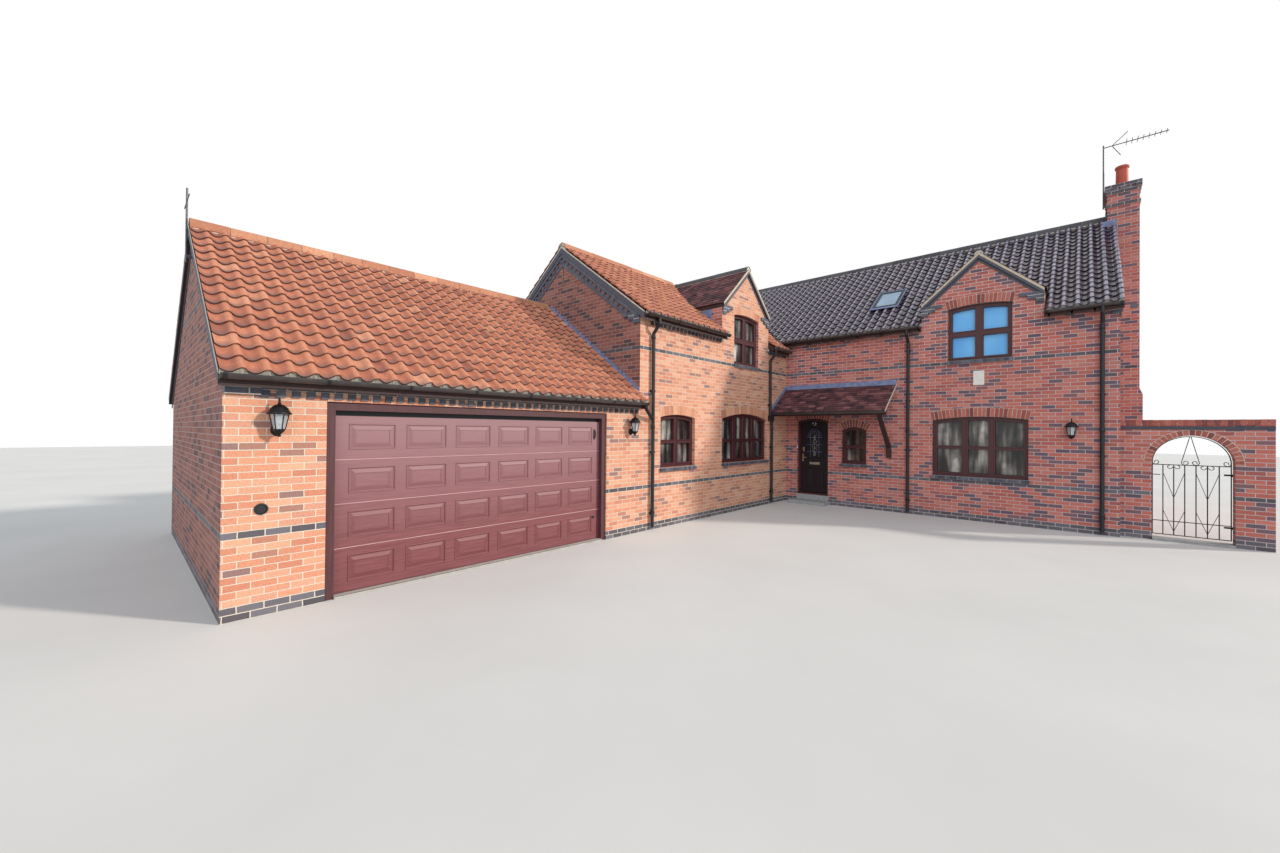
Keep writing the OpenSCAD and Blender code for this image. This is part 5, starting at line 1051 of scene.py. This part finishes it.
# ---------- fittings on the walls ----------
def lantern(b, at, c):
    """A coach lantern: a domed cap with a finial, glazed tapering sides, a base and a wall bracket."""
    base = at(c, 1.872, 0.12)

    def ring(rad, h):
        return [base + Vector((rad * math.cos(q), rad * math.sin(q), h)) for q in around(6, 0.3)]

    for p, q in zip(ring(0.052, 0.065), ring(0.083, 0.225)):
        b.rod([p, q], 0.0055, 6)
    b.sheet([ring(0.05, 0.068), ring(0.08, 0.222)], 0.5, False, 1, closed=True)
    b.lathe(tuple(base), [(0.012, -0.012), (0.02, 0.0), (0.012, 0.012), (0.05, 0.05), (0.056, 0.064),
                          (0.05, 0.07)], 6, smooth=False)
    b.lathe(tuple(base), [(0.108, 0.222), (0.112, 0.230), (0.096, 0.248), (0.075, 0.29), (0.042, 0.318),
                          (0.018, 0.326), (0.012, 0.34)], 12)
    b.lathe(tuple(base), [(0.012, 0.335), (0.016, 0.345), (0.008, 0.355), (0.013, 0.368), (0.004, 0.40)], 10)
    b.lathe(tuple(base), [(0.022, 0.07), (0.03, 0.1), (0.03, 0.15), (0.012, 0.17)], 10, mat=2)
    plate = at(c, 1.93, 0.0)
    out = (at(c, 1.93, 1.0) - plate).normalized()
    side = Z.cross(out)
    disc = [[plate + out * o + side * (rad * math.cos(q)) + Z * (rad * 1.15 * math.sin(q))
             for q in around(14)] for rad, o in ((0.055, 0.0), (0.055, 0.012), (0.035, 0.03), (0.02, 0.034))]
    b.sheet(disc, 0.5, True, 0, closed=True)
    b.face(disc[-1])
    b.rod([plate + out * 0.03, plate + out * 0.07 - Z * 0.03, plate + out * 0.115 - Z * 0.055,
           base - Z * 0.005], 0.009, 8)


b = Build()
for wall, c in (("wing", GAR_Y0 + 0.44), ("wing", -WING_L - 0.25), ("main", MAIN_W - 0.695)):
    lantern(b, on_wall(wall), c)
b.make("lanterns", [black_iron, lamp_glass, white], replaces=["wall_lanterns"])
b = Build()
at = on_wall("main")
for corners, out in (((4.452, 3.03, 4.655, 3.35), (0.0, 0.018)),
                     ((4.466, 3.044, 4.641, 3.336), (0.018, 0.024)),
                     ((0.335, 1.49, 0.365, 1.56), (0.0, 0.014))):
    slab(b, at, oblong(*corners), *out)
b.make("wall_plate", [white])
b = Build()
vent = [[Vector((o, -11.961 + rad * math.cos(q), 1.11 + rad * math.sin(q))) for q in around(16)]
        for rad, o in ((0.06, 0.0), (0.06, 0.012), (0.048, 0.014), (0.044, 0.003))]
b.sheet(vent, 0.5, False, 0, closed=True)
b.face(vent[-1])
b.make("round_vent", [black_plastic])

# ---------- rainwater goods ----------
b = Build()
b.rod([Vector(p) for p in ((0.206, -6.219, 2.440), (0.206, -6.219, 2.385), (0.202, -6.210, 2.360),
                           (0.190, -6.184, 2.340), (0.056, -5.850, 2.163))], 0.034, 14)
b.rod([Vector((0.206, -6.219, z)) for z in (2.425, 2.395)], 0.039, 14)
b.make("garage_outlet", [black_plastic])

# Straps over the half-round gutters, and brackets under the main block's front one.
b = Build()
GUTTER_R, STRAP_R, STRAP_HALF = 0.056, 0.062, 0.017


def strap(centre, out, along):
    rows = [[centre + out * (STRAP_R * math.cos(q)) - Z * (STRAP_R * math.sin(q)) + along * k
             for q in sweep(12)] for k in (-STRAP_HALF, STRAP_HALF)]
    b.sheet(rows, 0.5, True)
    b.box(*zip(*[(min(p[i] for p in (rows[0][0], rows[1][0])) - 0.001,
                  max(p[i] for p in (rows[0][0], rows[1][0])) + 0.001) for i in range(3)]))


for wall, a0, a1, roof_z, gap in (("wing", GAR_Y0 - VERGE, -WING_L, GAR_Z, 0.86),
                                  ("wing", -WING_L - VERGE, WDY - DH, WING_Z, 0.86),
                                  ("wing", WDY + DH, -EAVE, WING_Z, 0.5),
                                  ("main", 0.35, MDX - DH, MAIN_Z, 0.86),
                                  ("main", MDX + DH, MAIN_W + VERGE, MAIN_Z, 0.86),
                                  ("rear", -WING_D, MAIN_W, MAIN_Z, 0.86)):
    at = on_wall(wall)
    out, along = at(0, 0, 1) - at(0, 0, 0), at(1, 0, 0) - at(0, 0, 0)
    n = round((a1 - a0) / gap)
    for i in range(n + 1):
        a = a0 + 0.04 + (a1 - a0 - 0.08) * i / n
        strap(at(a, roof_z - T * EAVE - 0.022, EAVE + GUTTER_R), out, along)
at = on_wall("main")
for x in (0.75, 1.38, 2.0, 2.57, 3.4, 5.75, 6.1, 6.43):
    slab(b, at, oblong(x - 0.015, 4.36, x + 0.015, 4.47), 0.0, 0.15)
b.make("gutter_brackets", [black_plastic])

# Pipe collars at the joints of the downpipes.
b = Build()
for wall, a, top_z in (("wing", -WING_L + 0.33, 3.75), ("wing", -0.95, 2.2), ("main", 3.15, 4.0),
                       ("main", MAIN_W - 0.25, 4.0), ("rear", 6.39, 4.0), ("rear", -4.4, 4.0)):
    base = on_wall(wall)(a, 0.0, 0.056)
    for z in (0.35, 2.0, top_z):
        b.lathe((base.x, base.y, z), [(0.034, 0), (0.041, 0.004), (0.041, 0.07), (0.034, 0.076)], 14)
b.make("pipe_collars", [black_plastic])

# ---------- roof extras ----------
# The rooflight's pane, and the lead round it: up runs up the slope, off stands square to it.
up = Vector((0, 1, T)) / LEN
off = Vector((0, -T, 1)) / LEN


def on_slope(x, along, lift, corners, thick):
    """A sheet lifted off the main roof's front slope, its corners counted from x and a way up the slope."""
    p = Vector((x, SKY_Y, MAIN_Z + T * SKY_Y)) + up * along + off * lift
    b.prism([p + X * a + up * s for a, s in oblong(*corners)], off * thick)


b = Build()
on_slope(SKY_X, 0.0, 0.062, (0.055, 0.055, SKY_W - 0.055, SKY_L - 0.055), 0.014)
b.make("rooflight_pane", [sky_reflection_glass])
b = Build()
for x, along, wide, high in ((SKY_X - 0.04, -0.11, SKY_W + 0.08, 0.11),
                             (SKY_X - 0.04, SKY_L, SKY_W + 0.08, 0.05),
                             (SKY_X - 0.04, 0.0, 0.04, SKY_L), (SKY_X + SKY_W, 0.0, 0.04, SKY_L)):
    on_slope(x, along, 0.083, (0.0, 0.0, wide, high), 0.006)
# Lead at the foot of the chimney and along the valley.
for s in (-1, 1):
    y, inner = STACK_Y + s * 0.5, STACK_Y + s * 0.12
    z = MAIN_TOP - T * 0.5
    b.face([Vector((6.66, y, z + 0.03)), Vector((6.66, inner, MAIN_TOP + 0.02)),
            Vector((6.66, inner, MAIN_TOP + 0.19)), Vector((6.66, y, z + 0.20))])
    b.prism([Vector((x, y, h)) for x, h in oblong(6.60, z + 0.06, 6.84, z + 0.19)], Vector((0, s * 0.006, 0)))
foot = Vector((vx, -EAVE, WING_Z - T * vx + 0.008))
head = Vector((-WING_D / 2, WING_RIDGE_Y, WING_TOP + 0.008))
b.face([foot - X * 0.05 + Z * T * 0.05, foot, head, head - X * 0.05])
b.make("lead_work", [lead])

# Mortar at the pot's foot, and over the porch gutter and at the porch's verge.
b = Build()
b.lathe((STACK_X, STACK_Y, STACK_TOP), [(0.30, 0.0), (0.26, 0.012), (0.18, 0.055), (0.135, 0.07)], 16)
b.make("flaunching", [mortar])
b = Build()
pz = PORCH_Z - T * PORCH_D
b.box((0.0, -PORCH_D - 0.014, pz - 0.010), (PORCH_W + 0.006, -PORCH_D + 0.004, pz + 0.010))
b.prism([Vector((PORCH_W, y, z)) for y, z in ((-PORCH_D - 0.012, pz - 0.035), (0.0, PORCH_Z - 0.03),
                                              (0.0, PORCH_Z + 0.02), (-PORCH_D - 0.012, pz + 0.015))],
        X * 0.012)
b.make("porch_fillet", [mortar])

# ---------- camera, light, floor ----------
# The camera fitted to the photo: its turns in degrees, its place, and its focal length in pixels of 1280.
cam = placed("camera", bpy.data.cameras.new("camera"))
yaw, pitch, roll = math.radians(42.64), math.radians(0.41), math.radians(0.51)
ahead = Vector((-math.sin(yaw) * math.cos(pitch), math.cos(yaw) * math.cos(pitch), math.sin(pitch)))
right = Vector((math.cos(yaw), math.sin(yaw), 0))
upward = right.cross(ahead)
axes = (right * math.cos(roll) + upward * math.sin(roll),
        upward * math.cos(roll) - right * math.sin(roll), -ahead)
cam.matrix_world = Matrix.Translation((6.287, -12.993, 1.965)) @ Matrix(axes).transposed().to_4x4()
cam.data.sensor_width = 36.0
cam.data.sensor_fit = "HORIZONTAL"
cam.data.lens = 36.0 * 482.8 / 1280.0
cam.data.clip_end = 300.0
bpy.context.scene.camera = cam

for name, energy, angle, colour, source in (("sun", 3.1, 4, (1.0, 0.95, 0.88), (1.0, 0.66, 0.55)),
                                            ("fill", 1.3, 60, (0.86, 0.92, 1.0), (0.6, -1.0, 0.7))):
    lamp = placed(name, bpy.data.lights.new(name, "SUN"))
    lamp.data.energy = energy
    lamp.data.angle = math.radians(angle)
    lamp.data.color = colour
    lamp.rotation_euler = Vector(source).to_track_quat("Z", "Y").to_euler()

# The world lights with a pale sky and looks white, straight, in mirrors and through glass.
world = bpy.data.worlds.new("world")
bpy.context.scene.world = world
world.use_nodes = True
tree = world.node_tree
tree.nodes.clear()
rays = node(tree, "LightPath", {}).outputs
seen = rays["Is Camera Ray"]
for ray in ("Is Glossy Ray", "Is Transmission Ray"):
    seen = node(tree, "Math", {0: seen, 1: rays[ray]}, operation="MAXIMUM").outputs[0]
lit, white_sky = [node(tree, "Background", {0: tone, 1: power}).outputs[0]
                  for tone, power in (((0.86, 0.92, 1.0, 1.0), 0.56), (WHITE, 1.0))]
surface = node(tree, "MixShader", {0: seen, 1: lit, 2: white_sky}).outputs[0]
node(tree, "OutputWorld", {0: surface})
bpy.context.scene.view_settings.view_transform = "Standard"

mesh = bpy.data.meshes.new("floor")
mesh.from_pydata([(x, y, -0.001) for x, y in oblong(-60, -60, 60, 60)], [], [(0, 1, 2, 3)])
mesh.materials.append(plain_mat("floor", (214, 212, 208), (206, 204, 200), 0.4, (0.8, 0.9), bump=0.0))
ground = placed("floor", mesh)
